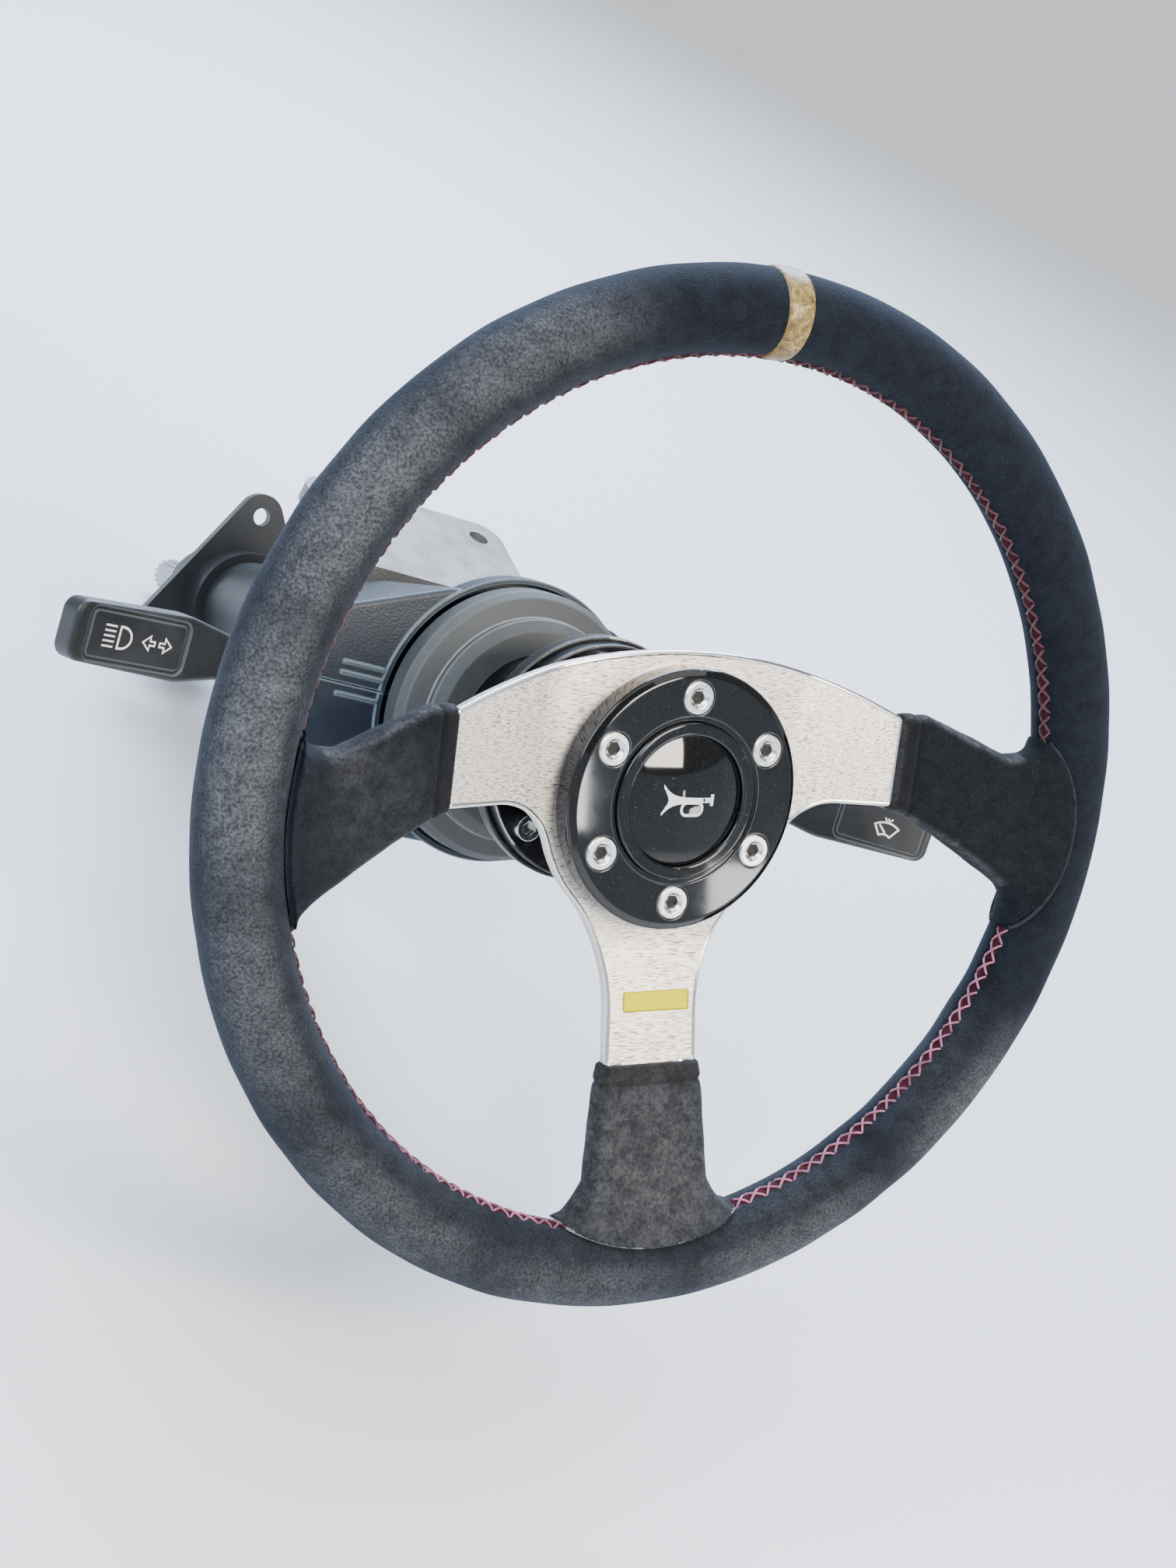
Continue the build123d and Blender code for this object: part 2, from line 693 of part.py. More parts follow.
def ear_bolt_places():
    return [(x, bracket_station + z) for x in (-ear_bolt_x, ear_bolt_x)
            for z in (-ear_bolt_spread / 2, ear_bolt_spread / 2)]


def ear_bar(radius, x, z, low, high):
    return Pos(x, low, z) * Rot(-90, 0, 0) * extrude(Circle(radius), high - low)


def bracket_half(top):
    low = bracket_station - barrel_length / 2
    high = bracket_station + barrel_length / 2
    sign = 1 if top else -1
    ears = square_bar(2 * ear_reach, barrel_length, -ear_thickness, ear_thickness, bracket_station)
    half = rod(barrel_radius, low, high) + ears
    size = 4 * ear_reach
    half &= Pos(0, sign * (size / 2 + seam_gap), bracket_station) * Box(size, size, size)
    return half - rod(tube_radius + fit_gap, low - 1, high + 1)


def mount_holes():
    return [Pos(x, y, -flange_thickness - 1) * extrude(Circle(mount_hole_radius), flange_thickness + 2)
            for x in (-mount_spacing_x / 2, mount_spacing_x / 2)
            for y in (-mount_spacing_y / 2, mount_spacing_y / 2)]


def column_bracket():
    """Upper half: drawn in the row's frame, with the clamp half leaned in to the column."""
    flange = RectangleRounded(flange_width, flange_length, flange_corner)
    top = Pos(0, 0, -flange_thickness) * extrude(flange, flange_thickness)
    reach = barrel_length / 2
    web_profile = Polygon((-flange_length / 2 + 4, -flange_thickness), (flange_length / 2 - 4, -flange_thickness),
                          (reach + 2, -bracket_drop), (-reach - 6, -bracket_drop), align=None)
    webs = [Pos(x, 0, 0) * extrude(Plane.YZ * web_profile, web_thickness / 2, both=True)
            for x in (-web_spread, web_spread)]
    cross_web = Pos(0, 0, -bracket_drop / 2) * Box(2 * web_spread, web_thickness, bracket_drop)
    rise = cross_web + webs
    low = bracket_station - barrel_length / 2
    high = bracket_station + barrel_length / 2
    column_zone = column_place * (Pos(0, 200, bracket_station) * Box(400, 400, barrel_length * 1.8))
    bore = column_place * rod(tube_radius + fit_gap, low - 40, high + 40)
    barrel_ends = column_place * (rod(barrel_radius, low - 40, low) + rod(barrel_radius, high, high + 40))
    bracket = (rise & column_zone) - barrel_ends + column_place * bracket_half(True) + top - bore
    for hole in mount_holes():
        bracket -= hole
    for x, z in ear_bolt_places():
        bracket -= column_place * ear_bar(ear_bolt_radius + screw_gap, x, z, -1, ear_thickness + 1)
    return bracket


def bracket_cap():
    cap = bracket_half(False)
    for x, z in ear_bolt_places():
        cap -= ear_bar(ear_bolt_radius + screw_gap, x, z, -ear_thickness - 1, 1)
    return cap


def bracket_bolts():
    bolts = []
    for x, z in ear_bolt_places():
        head = ear_bar(ear_bolt_head, x, z, -ear_thickness - ear_bolt_head_height, -ear_thickness)
        socket = Pos(x, -ear_thickness - ear_bolt_head_height, z) * Rot(-90, 0, 0) * hex_hole(
            ear_bolt_socket, -1, 1 + ear_bolt_head_height / 2)
        shank = ear_bar(ear_bolt_radius, x, z, -ear_thickness, ear_thickness + ear_bolt_bite)
        bolts.append(head - socket + shank)
    return bolts


# Lower flange

def lower_flange():
    pads = [Rot(0, 0, 90 + 360.0 * i / lower_flange_holes) * (Pos(lower_flange_circle / 2, 0)
            * Circle(lower_flange_pad)) for i in range(lower_flange_holes)]
    outline = make_hull([edge for pad in pads for edge in pad.edges()])
    place = Pos(0, 0, lower_flange_station)
    plate = place * extrude(outline, -lower_flange_thickness)
    collar_top = lower_flange_station + lower_collar_length
    plate += tube(lower_collar_radius, tube_radius, lower_flange_station, collar_top)
    plate -= rod(tube_radius + fit_gap, lower_flange_station - 20, lower_flange_station + 40)
    hole = Pos(lower_flange_circle / 2, 0) * rod(lower_flange_hole_radius, lower_flange_station - 20,
                                                 lower_flange_station + 1)
    return plate - around(hole, lower_flange_holes)


def write(name, piece, place):
    solids = piece if isinstance(piece, list) else [piece]
    moved = [solid for item in solids for solid in (place * item).solids()]
    shape = moved[0] if len(moved) == 1 else Compound(moved)
    export_step(shape, f"parts/{name}.step")


def main():
    os.makedirs("parts", exist_ok=True)
    plate = spoke_plate()
    wheel = {
        "rim_grip": rim_grip(),
        "centre_mark": centre_mark(),
        "spoke_sleeve_right": spoke_sleeve_right(plate),
        "spoke_sleeve_left": spoke_sleeve_left(plate),
        "spoke_sleeve_lower": spoke_sleeve_lower(plate),
        "spoke_plate": plate,
        "button_ring": button_ring(),
        "wheel_screws": wheel_screws(),
        "horn_bezel": horn_bezel(),
        "horn_button": horn_button(),
        "hub_spacer": hub_spacer(),
        "spacer_bolts": spacer_bolts(),
        "hub_boss": hub_boss(),
        "hub_shroud": hub_shroud(),
        "steering_shaft": steering_shaft(),
        "shaft_nut": shaft_nut(),
    }
    shells = housing()
    right_boot = stalk_boot()
    column = {
        "column_tube": column_tube(),
        "upper_bearing": bearing(tube_top - bearing_inset),
        "lower_bearing": bearing(tube_bottom + bearing_inset + bearing_length),
        "switch_body": switch_body(),
        "switch_housing_upper": shells & seam_side(True),
        "switch_housing_lower": shells & seam_side(False),
        "housing_screws": housing_screws(),
        "wiper_stalk": wiper_stalk(),
        "light_stalk": light_stalk(),
        "stalk_boots": [right_boot, mirror(right_boot, Plane.YZ)],
        "bracket_cap": bracket_cap(),
        "bracket_bolts": bracket_bolts(),
        "lower_flange": lower_flange(),
    }
    for name, piece in wheel.items():
        write(name, piece, wheel_place)
    for name, piece in column.items():
        write(name, piece, column_place)
    write("column_bracket", column_bracket(), Location())


main()
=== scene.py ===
import bmesh
import bpy
import functools
import itertools
import json
import math
import numpy as np
from mathutils import Matrix, Quaternion, Vector


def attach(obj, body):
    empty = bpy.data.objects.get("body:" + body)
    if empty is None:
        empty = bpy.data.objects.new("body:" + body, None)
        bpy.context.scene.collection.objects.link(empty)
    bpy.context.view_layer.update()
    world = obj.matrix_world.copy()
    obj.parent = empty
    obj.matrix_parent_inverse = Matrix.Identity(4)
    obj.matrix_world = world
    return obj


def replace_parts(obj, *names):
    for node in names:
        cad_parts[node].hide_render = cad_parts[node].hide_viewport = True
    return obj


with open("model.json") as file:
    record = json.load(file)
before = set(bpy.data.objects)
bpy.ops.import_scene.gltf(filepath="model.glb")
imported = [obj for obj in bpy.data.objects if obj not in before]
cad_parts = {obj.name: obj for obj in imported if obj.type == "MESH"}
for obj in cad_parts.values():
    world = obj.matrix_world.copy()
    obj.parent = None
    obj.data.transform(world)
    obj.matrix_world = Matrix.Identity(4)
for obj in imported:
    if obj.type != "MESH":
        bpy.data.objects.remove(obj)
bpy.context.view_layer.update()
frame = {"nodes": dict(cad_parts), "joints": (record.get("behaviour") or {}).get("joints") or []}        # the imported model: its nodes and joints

print("frame loaded")

# Pieces and patterns are drawn in millimetres in the axes of the body that they ride on,
# the column's or the wheel's, both with z along the shaft toward the driver.
steer = frame["joints"][0]
restTurn = 11  # degrees that the wheel is turned to the left in the photograph
towardDriver = Vector(steer["axis"])
upColumn = towardDriver.cross(Vector((1, 0, 0)))
columnPlace = Matrix.Translation(steer["pos_m"]) @ Matrix(((1, 0, 0), upColumn, towardDriver)).transposed().to_4x4()
axes = {"column": columnPlace, "wheel": columnPlace @ Matrix.Rotation(math.radians(restTurn), 4, "Z")}


def toFrame(points, body):
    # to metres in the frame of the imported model
    return np.asarray(points, float) @ np.array(axes[body].to_3x3()).T / 1000 + np.array(axes[body].translation)


def toWheel(points):
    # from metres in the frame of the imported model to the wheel's axes
    place = axes["wheel"]
    return (np.asarray(points, float) - np.array(place.translation)) @ np.array(place.to_3x3()) * 1000


def hexColour(code):
    # sRGB hex to linear
    parts = [int(code[i:i + 2], 16) / 255 for i in (1, 3, 5)]
    return tuple(c / 12.92 if c <= 0.04045 else ((c + 0.055) / 1.055) ** 2.4 for c in parts) + (1.0,)


def newMaterial(name, body):
    # an empty material, coordinates in millimetres in the body's axes for its patterns, and addNode for its nodes
    material = bpy.data.materials.new(name)
    material.use_nodes = True
    material.node_tree.nodes.clear()
    add = functools.partial(addNode, material.node_tree)
    where = add("TexCoord").outputs["Object"]
    where = add("Mapping", {
        "Vector": where, "Location": axes[body].translation, "Rotation": axes[body].to_euler(),
        "Scale": (0.001,) * 3}, vector_type="TEXTURE")
    return material, where, add


def addNode(tree, kind, inputs=None, **settings):
    # a socket is named or counted among those in use, and a node stands for its first output in use
    node = tree.nodes.new("ShaderNode" + kind)
    for name, value in settings.items():
        setattr(node, name, value)
    sockets = [socket for socket in node.inputs if socket.enabled]
    for name, value in (inputs or {}).items():
        socket = sockets[name] if isinstance(name, int) else node.inputs[name]
        if isinstance(value, bpy.types.Node):
            value = next(output for output in value.outputs if output.enabled)
        if isinstance(value, bpy.types.NodeSocket):
            tree.links.new(value, socket)
        else:
            socket.default_value = value
    return node


def newObject(name, points, faces, material):
    mesh = bpy.data.meshes.new(name)
    mesh.from_pydata(points.tolist(), [], faces)
    mesh.polygons.foreach_set("use_smooth", [True] * len(mesh.polygons))
    mesh.materials.append(material)
    made = bpy.data.objects.new(name, mesh)
    bpy.context.scene.collection.objects.link(made)
    return made


def newPiece(name, points, faces, body, material, slot):
    piece = newObject(name, toFrame(points, body), faces, material)
    shell = bmesh.new()
    shell.from_mesh(piece.data)
    bmesh.ops.recalc_face_normals(shell, faces=shell.faces)
    shell.to_mesh(piece.data)
    shell.free()
    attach(piece, body)
    return piece


def gridFaces(rows, columns, closeRows=True, closeColumns=True):
    return [(i * columns + j, i * columns + (j + 1) % columns,
             (i + 1) % rows * columns + (j + 1) % columns, (i + 1) % rows * columns + j)
            for i in range(rows if closeRows else rows - 1)
            for j in range(columns if closeColumns else columns - 1)]


def evenLine(line, count, closed=False):
    # points at even steps along a line
    line = np.vstack([line, line[:1]]) if closed else line
    steps = np.concatenate([[0], np.cumsum(np.linalg.norm(np.diff(line, axis=0), axis=1))])
    spread = np.linspace(0, steps[-1], count, endpoint=not closed)
    return np.stack([np.interp(spread, steps, line[:, i]) for i in range(3)], 1)


rim = {
    "radius": 161.0, "grip": 14.0, "lift": 7.0,  # radius of its middle line and of its round section, its height
    "around": 720, "across": 76, "crowding": 0.72,  # points, which stand closer together at the seam
    "seamDepth": 0.9, "seamWidth": 1.0,
    "wrinkle": 0.035, "wrinkles": 16, "waves": (4, 46), "rolls": (0, 4)}  # least and most of them round rim and grip


# Materials

def layColours(add, look, first, *layers):
    # each colour of the look over those before it, as far as its mask reaches
    colour = hexColour(look[first])
    for mask, name in layers:
        colour = add("Mix", {0: mask, 1: colour, 2: hexColour(look[name])}, data_type="RGBA")
    return colour


def suede(name, look):
    # Suede, cut and brushed: short fibres stand in clumps with a soft sheen at glancing angles;
    # where hands have polished it the nap lies flat and shows grey in small grains, and the same grey paints highlights
    material, where, add = newMaterial(name, "wheel")
    fibre = add("TexNoise", {"Vector": where, "Scale": 1 / look["fibreSize"], "Detail": 3.0, "Roughness": 0.7})
    grain = add("TexNoise", {"Vector": where, "Scale": 1 / look["grainSize"], "Detail": 2.0, "Roughness": 0.55})
    mottle = add("TexNoise", {
        "Vector": where, "Scale": 1 / look["mottleSize"], "Detail": 4.0, "Roughness": 0.6, "Distortion": 0.5})
    wornAndLit = add("Attribute", attribute_name="wornAndLit").outputs["Fac"]
    # each place turns lighter grey: hand polish, and on the rim's left and bottom a painted highlight
    for centre, reach, share in look["wornAndLitPlaces"]:
        away = add("VectorMath", {0: where, 1: centre}, operation="DISTANCE")
        spot = add("MapRange", {
            "Value": away, "From Min": reach, "From Max": reach * 0.2, "To Max": share},
            interpolation_type="SMOOTHSTEP")
        wornAndLit = add("Math", {0: wornAndLit, 1: spot}, operation="MAXIMUM")
    lean = math.radians(look["lean"])
    flat = add("VectorMath", {0: where, 1: (1, 1, 0)}, operation="MULTIPLY")
    outward = add("VectorMath", {0: flat}, operation="LENGTH")
    outward = add("MapRange", {
        "Value": outward, "From Min": rim["radius"], "From Max": rim["radius"] + 1, "To Max": math.sin(lean)},
        clamp=False)
    height = add("SeparateXYZ", {0: where}).outputs[2]
    height = add("Math", {0: height, 1: math.cos(lean), 2: outward}, operation="MULTIPLY_ADD")
    # lighter only toward the grip's front: hand wear, and a painted highlight stripe along it
    crown = add("MapRange", {
        "Value": height, "From Min": look["crown"][0], "From Max": look["crown"][1], "To Min": 0.3},
        interpolation_type="SMOOTHSTEP")
    wornAndLit = add("Math", {0: wornAndLit, 1: crown}, operation="MULTIPLY")
    napLight = add("MapRange", {"Value": mottle, "From Min": 0.36, "From Max": 0.64})
    speck = add("MapRange", {"Value": fibre, "From Min": 0.5, "From Max": 0.72, "To Max": look["fibreLight"]})
    broken = add("MapRange", {"Value": grain, "From Min": 0.36, "From Max": 0.68, "To Min": look["wornAndLitFilm"]})
    patchy = add("MapRange", {"Value": mottle, "From Min": 0.38, "From Max": 0.6, "To Min": look["wornAndLitEven"]})
    share = add("Math", {0: broken, 1: patchy}, operation="MULTIPLY")
    share = add("Math", {0: wornAndLit, 1: share}, operation="MULTIPLY")
    hem = add("Attribute", attribute_name="hem").outputs["Fac"]
    colour = layColours(
        add, look, "lyingNap", (napLight, "raisedNap"), (speck, "fibreTip"), (share, "wornAndLit"), (hem, "hem"))
    roughness = add("MapRange", {"Value": share, "To Min": 0.9, "To Max": 0.48})
    height = add("Math", {0: grain, 1: fibre}, operation="ADD")
    bump = add("Bump", {"Strength": look["relief"], "Distance": 0.0005, "Height": height})
    shader = add("BsdfPrincipled", {
        "Base Color": colour, "Roughness": roughness, "IOR": 1.45, "Specular IOR Level": 0.18,
        "Sheen Weight": look["sheen"], "Sheen Roughness": 0.4, "Sheen Tint": hexColour(look["sheenTint"]),
        "Normal": bump})
    add("OutputMaterial", {"Surface": shader})
    return material


def spunThread(look):
    # Spun polyester thread: matt dark red with a fine twist, soiled in places; a painted highlight turns it pink low
    # down.
    # The real twist is 0.3 mm, drawn coarser so that it shows.
    material, where, add = newMaterial("polyesterThread", "wheel")
    # painted highlight: lighter pink toward the bottom of the wheel
    lower = add("VectorMath", {0: where, 1: look["lightAlong"]}, operation="DOT_PRODUCT")
    low = add("MapRange", {
        "Value": lower, "From Min": look["lightRange"][0], "From Max": look["lightRange"][1]}, interpolation_type="SMOOTHSTEP")
    dirt = add("TexNoise", {"Vector": where, "Scale": 1 / look["dirtSize"], "Detail": 3.0})
    soiled = add("MapRange", {"Value": dirt, "From Min": 0.42, "From Max": 0.66, "To Max": 0.75})
    colour = layColours(add, look, "dark", (low, "litPink"), (soiled, "soil"))
    twist = add("TexWave", {
        "Vector": where, "Scale": 1 / look["twist"], "Distortion": 1.5}, bands_direction="DIAGONAL")
    bump = add("Bump", {"Strength": 0.5, "Distance": 0.0001, "Height": twist})
    shader = add("BsdfPrincipled", {
        "Base Color": colour, "Roughness": 0.75, "IOR": 1.5, "Sheen Weight": 0.25, "Normal": bump})
    add("OutputMaterial", {"Surface": shader})
    return material


def dyedLeather(look):
    # Dyed leather: ochre with a slight polish, pale where rubbed, dark dirt in its grain, painted shade along its sides
    material, where, add = newMaterial("dyedLeather", "wheel")
    grain = add("TexVoronoi", {"Vector": where, "Scale": 1 / look["grain"]}, feature="SMOOTH_F1")
    rub = add("TexNoise", {
        "Vector": where, "Scale": 1 / look["rubSize"], "Detail": 5.0, "Roughness": 0.7, "Distortion": 1.2})
    rubbed = add("MapRange", {"Value": rub, "From Min": 0.5, "From Max": 0.66})
    dirt = add("TexNoise", {"Vector": where, "Scale": 1 / look["dirtSize"], "Detail": 6.0, "Roughness": 0.75})
    dirtAndShade = add("MapRange", {"Value": dirt, "From Min": 0.48, "From Max": 0.64, "To Max": 0.8})
    # painted shade along both sides, where the suede beside the band stands over it
    turn = math.radians(look["turn"])
    aside = add("VectorMath", {0: where, 1: (-math.sin(turn), math.cos(turn), 0)}, operation="DOT_PRODUCT")
    aside = add("Math", {0: aside}, operation="ABSOLUTE")
    shade = add("MapRange", {"Value": aside, "From Min": look["edge"][0], "From Max": look["edge"][1]})
    dirtAndShade = add("Math", {0: dirtAndShade, 1: shade}, operation="MAXIMUM")
    colour = layColours(add, look, "dye", (rubbed, "rubbed"), (dirtAndShade, "dirt"))
    bump = add("Bump", {"Strength": 0.5, "Distance": 0.0002, "Height": grain})
    roughness = add("MapRange", {"Value": rub, "To Min": 0.55, "To Max": 0.28})
    shader = add("BsdfPrincipled", {"Base Color": colour, "Roughness": roughness, "IOR": 1.5, "Normal": bump})
    add("OutputMaterial", {"Surface": shader})
    return material


def edgeMask(add, reach):
    # one along outer edges, where handling polishes a surface first (on moulded pieces also a painted highlight),
    # and the normal that rounds them
    rounded = add("Bevel", {"Radius": reach / 1000}, samples=6)
    flat = add("NewGeometry").outputs["True Normal"]
    lean = add("VectorMath", {0: rounded, 1: flat}, operation="DOT_PRODUCT")
    return add("MapRange", {"Value": lean, "From Min": 0.985, "From Max": 0.93}), rounded


def brushedAluminium(look):
    # Brushed aluminium: warm silver with level scratches and dark dashes, its edge turned bright by wear.
    # The real scratches are about 0.05 mm wide, drawn coarser so that they show.
    material, where, add = newMaterial("brushedAluminium", "wheel")
    edge, rounded = edgeMask(add, look["edge"])
    along = add("VectorMath", {
        0: where, 1: (1 / look["scratchLength"], 1 / look["scratchWidth"], 1 / look["scratchWidth"])},
        operation="MULTIPLY")
    scratch = add("TexNoise", {"Vector": along, "Scale": 1.0, "Detail": 4.0, "Roughness": 0.7})
    dashAlong = add("VectorMath", {
        0: where, 1: (1 / look["dashLength"], 1 / look["dashWidth"], 1 / look["dashWidth"])}, operation="MULTIPLY")
    dash = add("TexNoise", {"Vector": dashAlong, "Scale": 1.0, "Detail": 2.0})
    streak = add("MapRange", {"Value": scratch, "From Min": 0.35, "From Max": 0.65})
    dashed = add("MapRange", {"Value": dash, "From Min": 0.5, "From Max": 0.63, "To Max": look["dashShare"]})
    cloud = add("TexNoise", {"Vector": where, "Scale": 1 / look["cloudSize"], "Detail": 3.0})
    dull = add("MapRange", {"Value": cloud, "From Min": 0.45, "From Max": 0.7, "To Max": 0.45})
    colour = layColours(
        add, look, "groove", (streak, "ridge"), (dashed, "dash"), (dull, "dull"), (edge, "polished"))
    roughness = add("MapRange", {
        "Value": scratch, "From Min": 0.3, "From Max": 0.7, "To Min": 0.36, "To Max": 0.52})
    roughness = add("Mix", {0: edge, 1: roughness, 2: 0.2})
    bump = add("Bump", {"Strength": 0.4, "Distance": 0.00008, "Height": scratch, "Normal": rounded})
    shader = add("BsdfPrincipled", {"Base Color": colour, "Metallic": 1.0, "Roughness": roughness, "Normal": bump})
    add("OutputMaterial", {"Surface": shader})
    return material


def turnedMetal(name, body, look):
    # Turned on a lathe, ground or plated: fine rings round the shaft, light handling marks, bright edges.
    # The tool's real feed is about 0.1 mm, drawn coarser so that the rings show.
    material, where, add = newMaterial(name, body)
    edge, rounded = edgeMask(add, look["edge"])
    parts = add("SeparateXYZ", {0: where})
    flat = add("VectorMath", {0: where, 1: (1, 1, 0)}, operation="MULTIPLY")
    reach = add("VectorMath", {0: flat}, operation="LENGTH")
    rings = add("CombineXYZ", {0: reach, 1: parts.outputs[2]})
    ring = add("TexNoise", {"Vector": rings, "Scale": 1 / look["ringWidth"], "Detail": 3.0, "Roughness": 0.7})
    marks = add("TexNoise", {"Vector": where, "Scale": 1 / look["markSize"], "Detail": 6.0, "Roughness": 0.7})
    ringLight = add("MapRange", {"Value": ring, "From Min": 0.3, "From Max": 0.7})
    marked = add("MapRange", {"Value": marks, "From Min": 0.56, "From Max": 0.72, "To Max": 0.7})
    colour = layColours(add, look, "low", (ringLight, "high"), (marked, "mark"), (edge, "polished"))
    roughness = add("MapRange", {
        "Value": marks, "From Min": 0.3, "From Max": 0.7,
        "To Min": look["roughness"] * 0.8, "To Max": look["roughness"] * 1.3})
    bump = add("Bump", {"Strength": look["relief"], "Distance": 0.0001, "Height": ring, "Normal": rounded})
    shader = add("BsdfPrincipled", {
        "Base Color": colour, "Metallic": look["metallic"], "Roughness": roughness, "Normal": bump})
    add("OutputMaterial", {"Surface": shader})
    return material


def mouldedPlastic(name, body, look):
    # Moulded ABS, vinyl or rubber: the mould's own grain, scuffs that go grey,
    # edges pale from rubbing and from a painted highlight, a trace of dust
    material, where, add = newMaterial(name, body)
    edge, rounded = edgeMask(add, look["edge"])
    grain = add("TexVoronoi", {"Vector": where, "Scale": 1 / look["grainSize"]}, feature="SMOOTH_F1")
    scuff = add("TexNoise", {
        "Vector": where, "Scale": 1 / look["scuffSize"], "Detail": 7.0, "Roughness": 0.72, "Distortion": 0.4})
    dust = add("TexNoise", {"Vector": where, "Scale": 1 / look["dustSize"], "Detail": 2.0})
    scuffed = add("MapRange", {"Value": scuff, "From Min": 0.52, "From Max": 0.75, "To Max": look["scuffShare"]})
    dusty = add("MapRange", {"Value": dust, "From Min": 0.66, "From Max": 0.8, "To Max": look["dustShare"]})
    rubbed = add("Math", {0: edge, 1: look["edgeWearAndHighlight"]}, operation="MULTIPLY")
    colour = layColours(add, look, "colour", (scuffed, "scuff"), (dusty, "dust"), (rubbed, "rubbed"))
    roughness = add("MapRange", {
        "Value": scuff, "From Min": 0.35, "From Max": 0.75,
        "To Min": look["roughness"], "To Max": look["roughness"] + look["scuffDulls"]})
    bump = add("Bump", {"Strength": look["relief"], "Distance": 0.00012, "Height": grain, "Normal": rounded})
    shader = add("BsdfPrincipled", {
        "Base Color": colour, "Roughness": roughness, "IOR": look["ior"], "Specular IOR Level": look["specular"],
        "Normal": bump})
    add("OutputMaterial", {"Surface": shader})
    return material


def castMetal(name, look):
    # Sand-cast or painted metal: an even pebbled skin, stained a little darker here and there
    material, where, add = newMaterial(name, "column")
    pebble = add("TexNoise", {"Vector": where, "Scale": 1 / look["pebbleSize"], "Detail": 5.0, "Roughness": 0.65})
    stain = add("TexNoise", {"Vector": where, "Scale": 1 / look["stainSize"], "Detail": 4.0, "Roughness": 0.6})
    stained = add("MapRange", {"Value": stain, "From Min": 0.4, "From Max": 0.68, "To Max": 0.5})
    bright = add("MapRange", {"Value": pebble, "From Min": 0.52, "From Max": 0.72, "To Max": 0.6})
    colour = layColours(add, look, "colour", (stained, "stain"), (bright, "grit"))
    roughness = add("MapRange", {
        "Value": stain, "From Min": 0.3, "From Max": 0.7,
        "To Min": look["roughness"] - 0.06, "To Max": look["roughness"] + 0.1})
    bump = add("Bump", {"Strength": look["relief"], "Distance": 0.0003, "Height": pebble})
    shader = add("BsdfPrincipled", {
        "Base Color": colour, "Metallic": look["metallic"], "Roughness": roughness, "Normal": bump})
    add("OutputMaterial", {"Surface": shader})
    return material


# What the suede pieces have in common. The rim's front, leaning over to its outer side by these degrees,
# turns lighter from the first of the crown's heights to the second: hand wear, and a painted highlight along it.
nap = {"lean": 25, "crown": (-140, -130), "hem": "#000000", "sheenTint": "#93a9cc", "relief": 0.5, "wornAndLitPlaces": []}
rimSuede = suede("brushedSuede", dict(
    nap, fibreSize=0.55, grainSize=0.95, mottleSize=7.0,  # the real fibre is 0.3 mm, drawn coarser so that it shows
    crown=(14.0, 20.3), lyingNap="#080b10", raisedNap="#11161e", fibreTip="#2b323c", fibreLight=0.45,
    wornAndLit="#68696c", wornAndLitFilm=0.28, wornAndLitEven=0.68, sheen=0.12, relief=0.8,
    # middle, reach and share of each lighter place: hand polish, and a painted highlight on the left and lower rim
    wornAndLitPlaces=[((-132, 88, 20), 66, 0.74), ((-158, 20, 20), 70, 0.76), ((-146, -52, 20), 66, 0.56),
                ((-88, 134, 20), 60, 0.55), ((-100, -122, 18), 66, 0.5), ((-30, -158, 18), 62, 0.45),
                ((52, -150, 18), 60, 0.55), ((128, -112, 10), 50, 0.6)]))
# its last place is a painted highlight on the left sleeve's top edge by the rim; the other two are wear
sleeveSuede = suede("suedeSleeve", dict(
    nap, fibreSize=0.5, grainSize=1.3, mottleSize=5.0, lyingNap="#06080b", raisedNap="#0f1317", fibreTip="#2f353c",
    fibreLight=0.5, wornAndLit="#575757", wornAndLitFilm=0.42, wornAndLitEven=0.5, hem="#1a1613", sheen=0.12, relief=0.7,
    wornAndLitPlaces=[((0, -128, 2), 66, 0.62), ((-116, 0, 12), 36, 0.22), ((-128, 14, 8), 15, 0.4)]))
# its place low on the wheel is a painted highlight on the lobes' cut edges, which lie in shade there
cutSuede = suede("suedeCutEdge", dict(
    nap, fibreSize=0.5, grainSize=0.9, mottleSize=4.0, lyingNap="#11151a", raisedNap="#20262b", fibreTip="#3a4046",
    fibreLight=0.6, wornAndLit="#8f938f", wornAndLitFilm=0.7, wornAndLitEven=0.7, sheen=0.2, sheenTint="#ffffff",
    wornAndLitPlaces=[((0, -150, 10), 70, 1.0)]))
seamMaroon = suede("suedeSeam", dict(
    nap, fibreSize=0.4, grainSize=0.8, mottleSize=4.0, lyingNap="#25070f", raisedNap="#3d0f1c", fibreTip="#6a2f42",
    fibreLight=0.4, wornAndLit="#25070f", wornAndLitFilm=0.0, wornAndLitEven=0.0, sheen=0.1, sheenTint="#c08098"))
seamThread = spunThread({
    "dark": "#48101a", "litPink": "#a5607c", "lightAlong": (-0.35, 1, 0), "lightRange": (-30, -105), "soil": "#2a1117",
    "dirtSize": 8.0, "twist": 0.7})
plateFace = brushedAluminium({
    "scratchLength": 9.0, "scratchWidth": 0.28, "dashLength": 3.4, "dashWidth": 0.36, "cloudSize": 18.0, "edge": 0.9,
    "groove": "#d9cec5", "ridge": "#fffaf3", "dash": "#7b6c61", "dashShare": 0.9, "dull": "#dcd2c9",
    "polished": "#fbfaf7"})

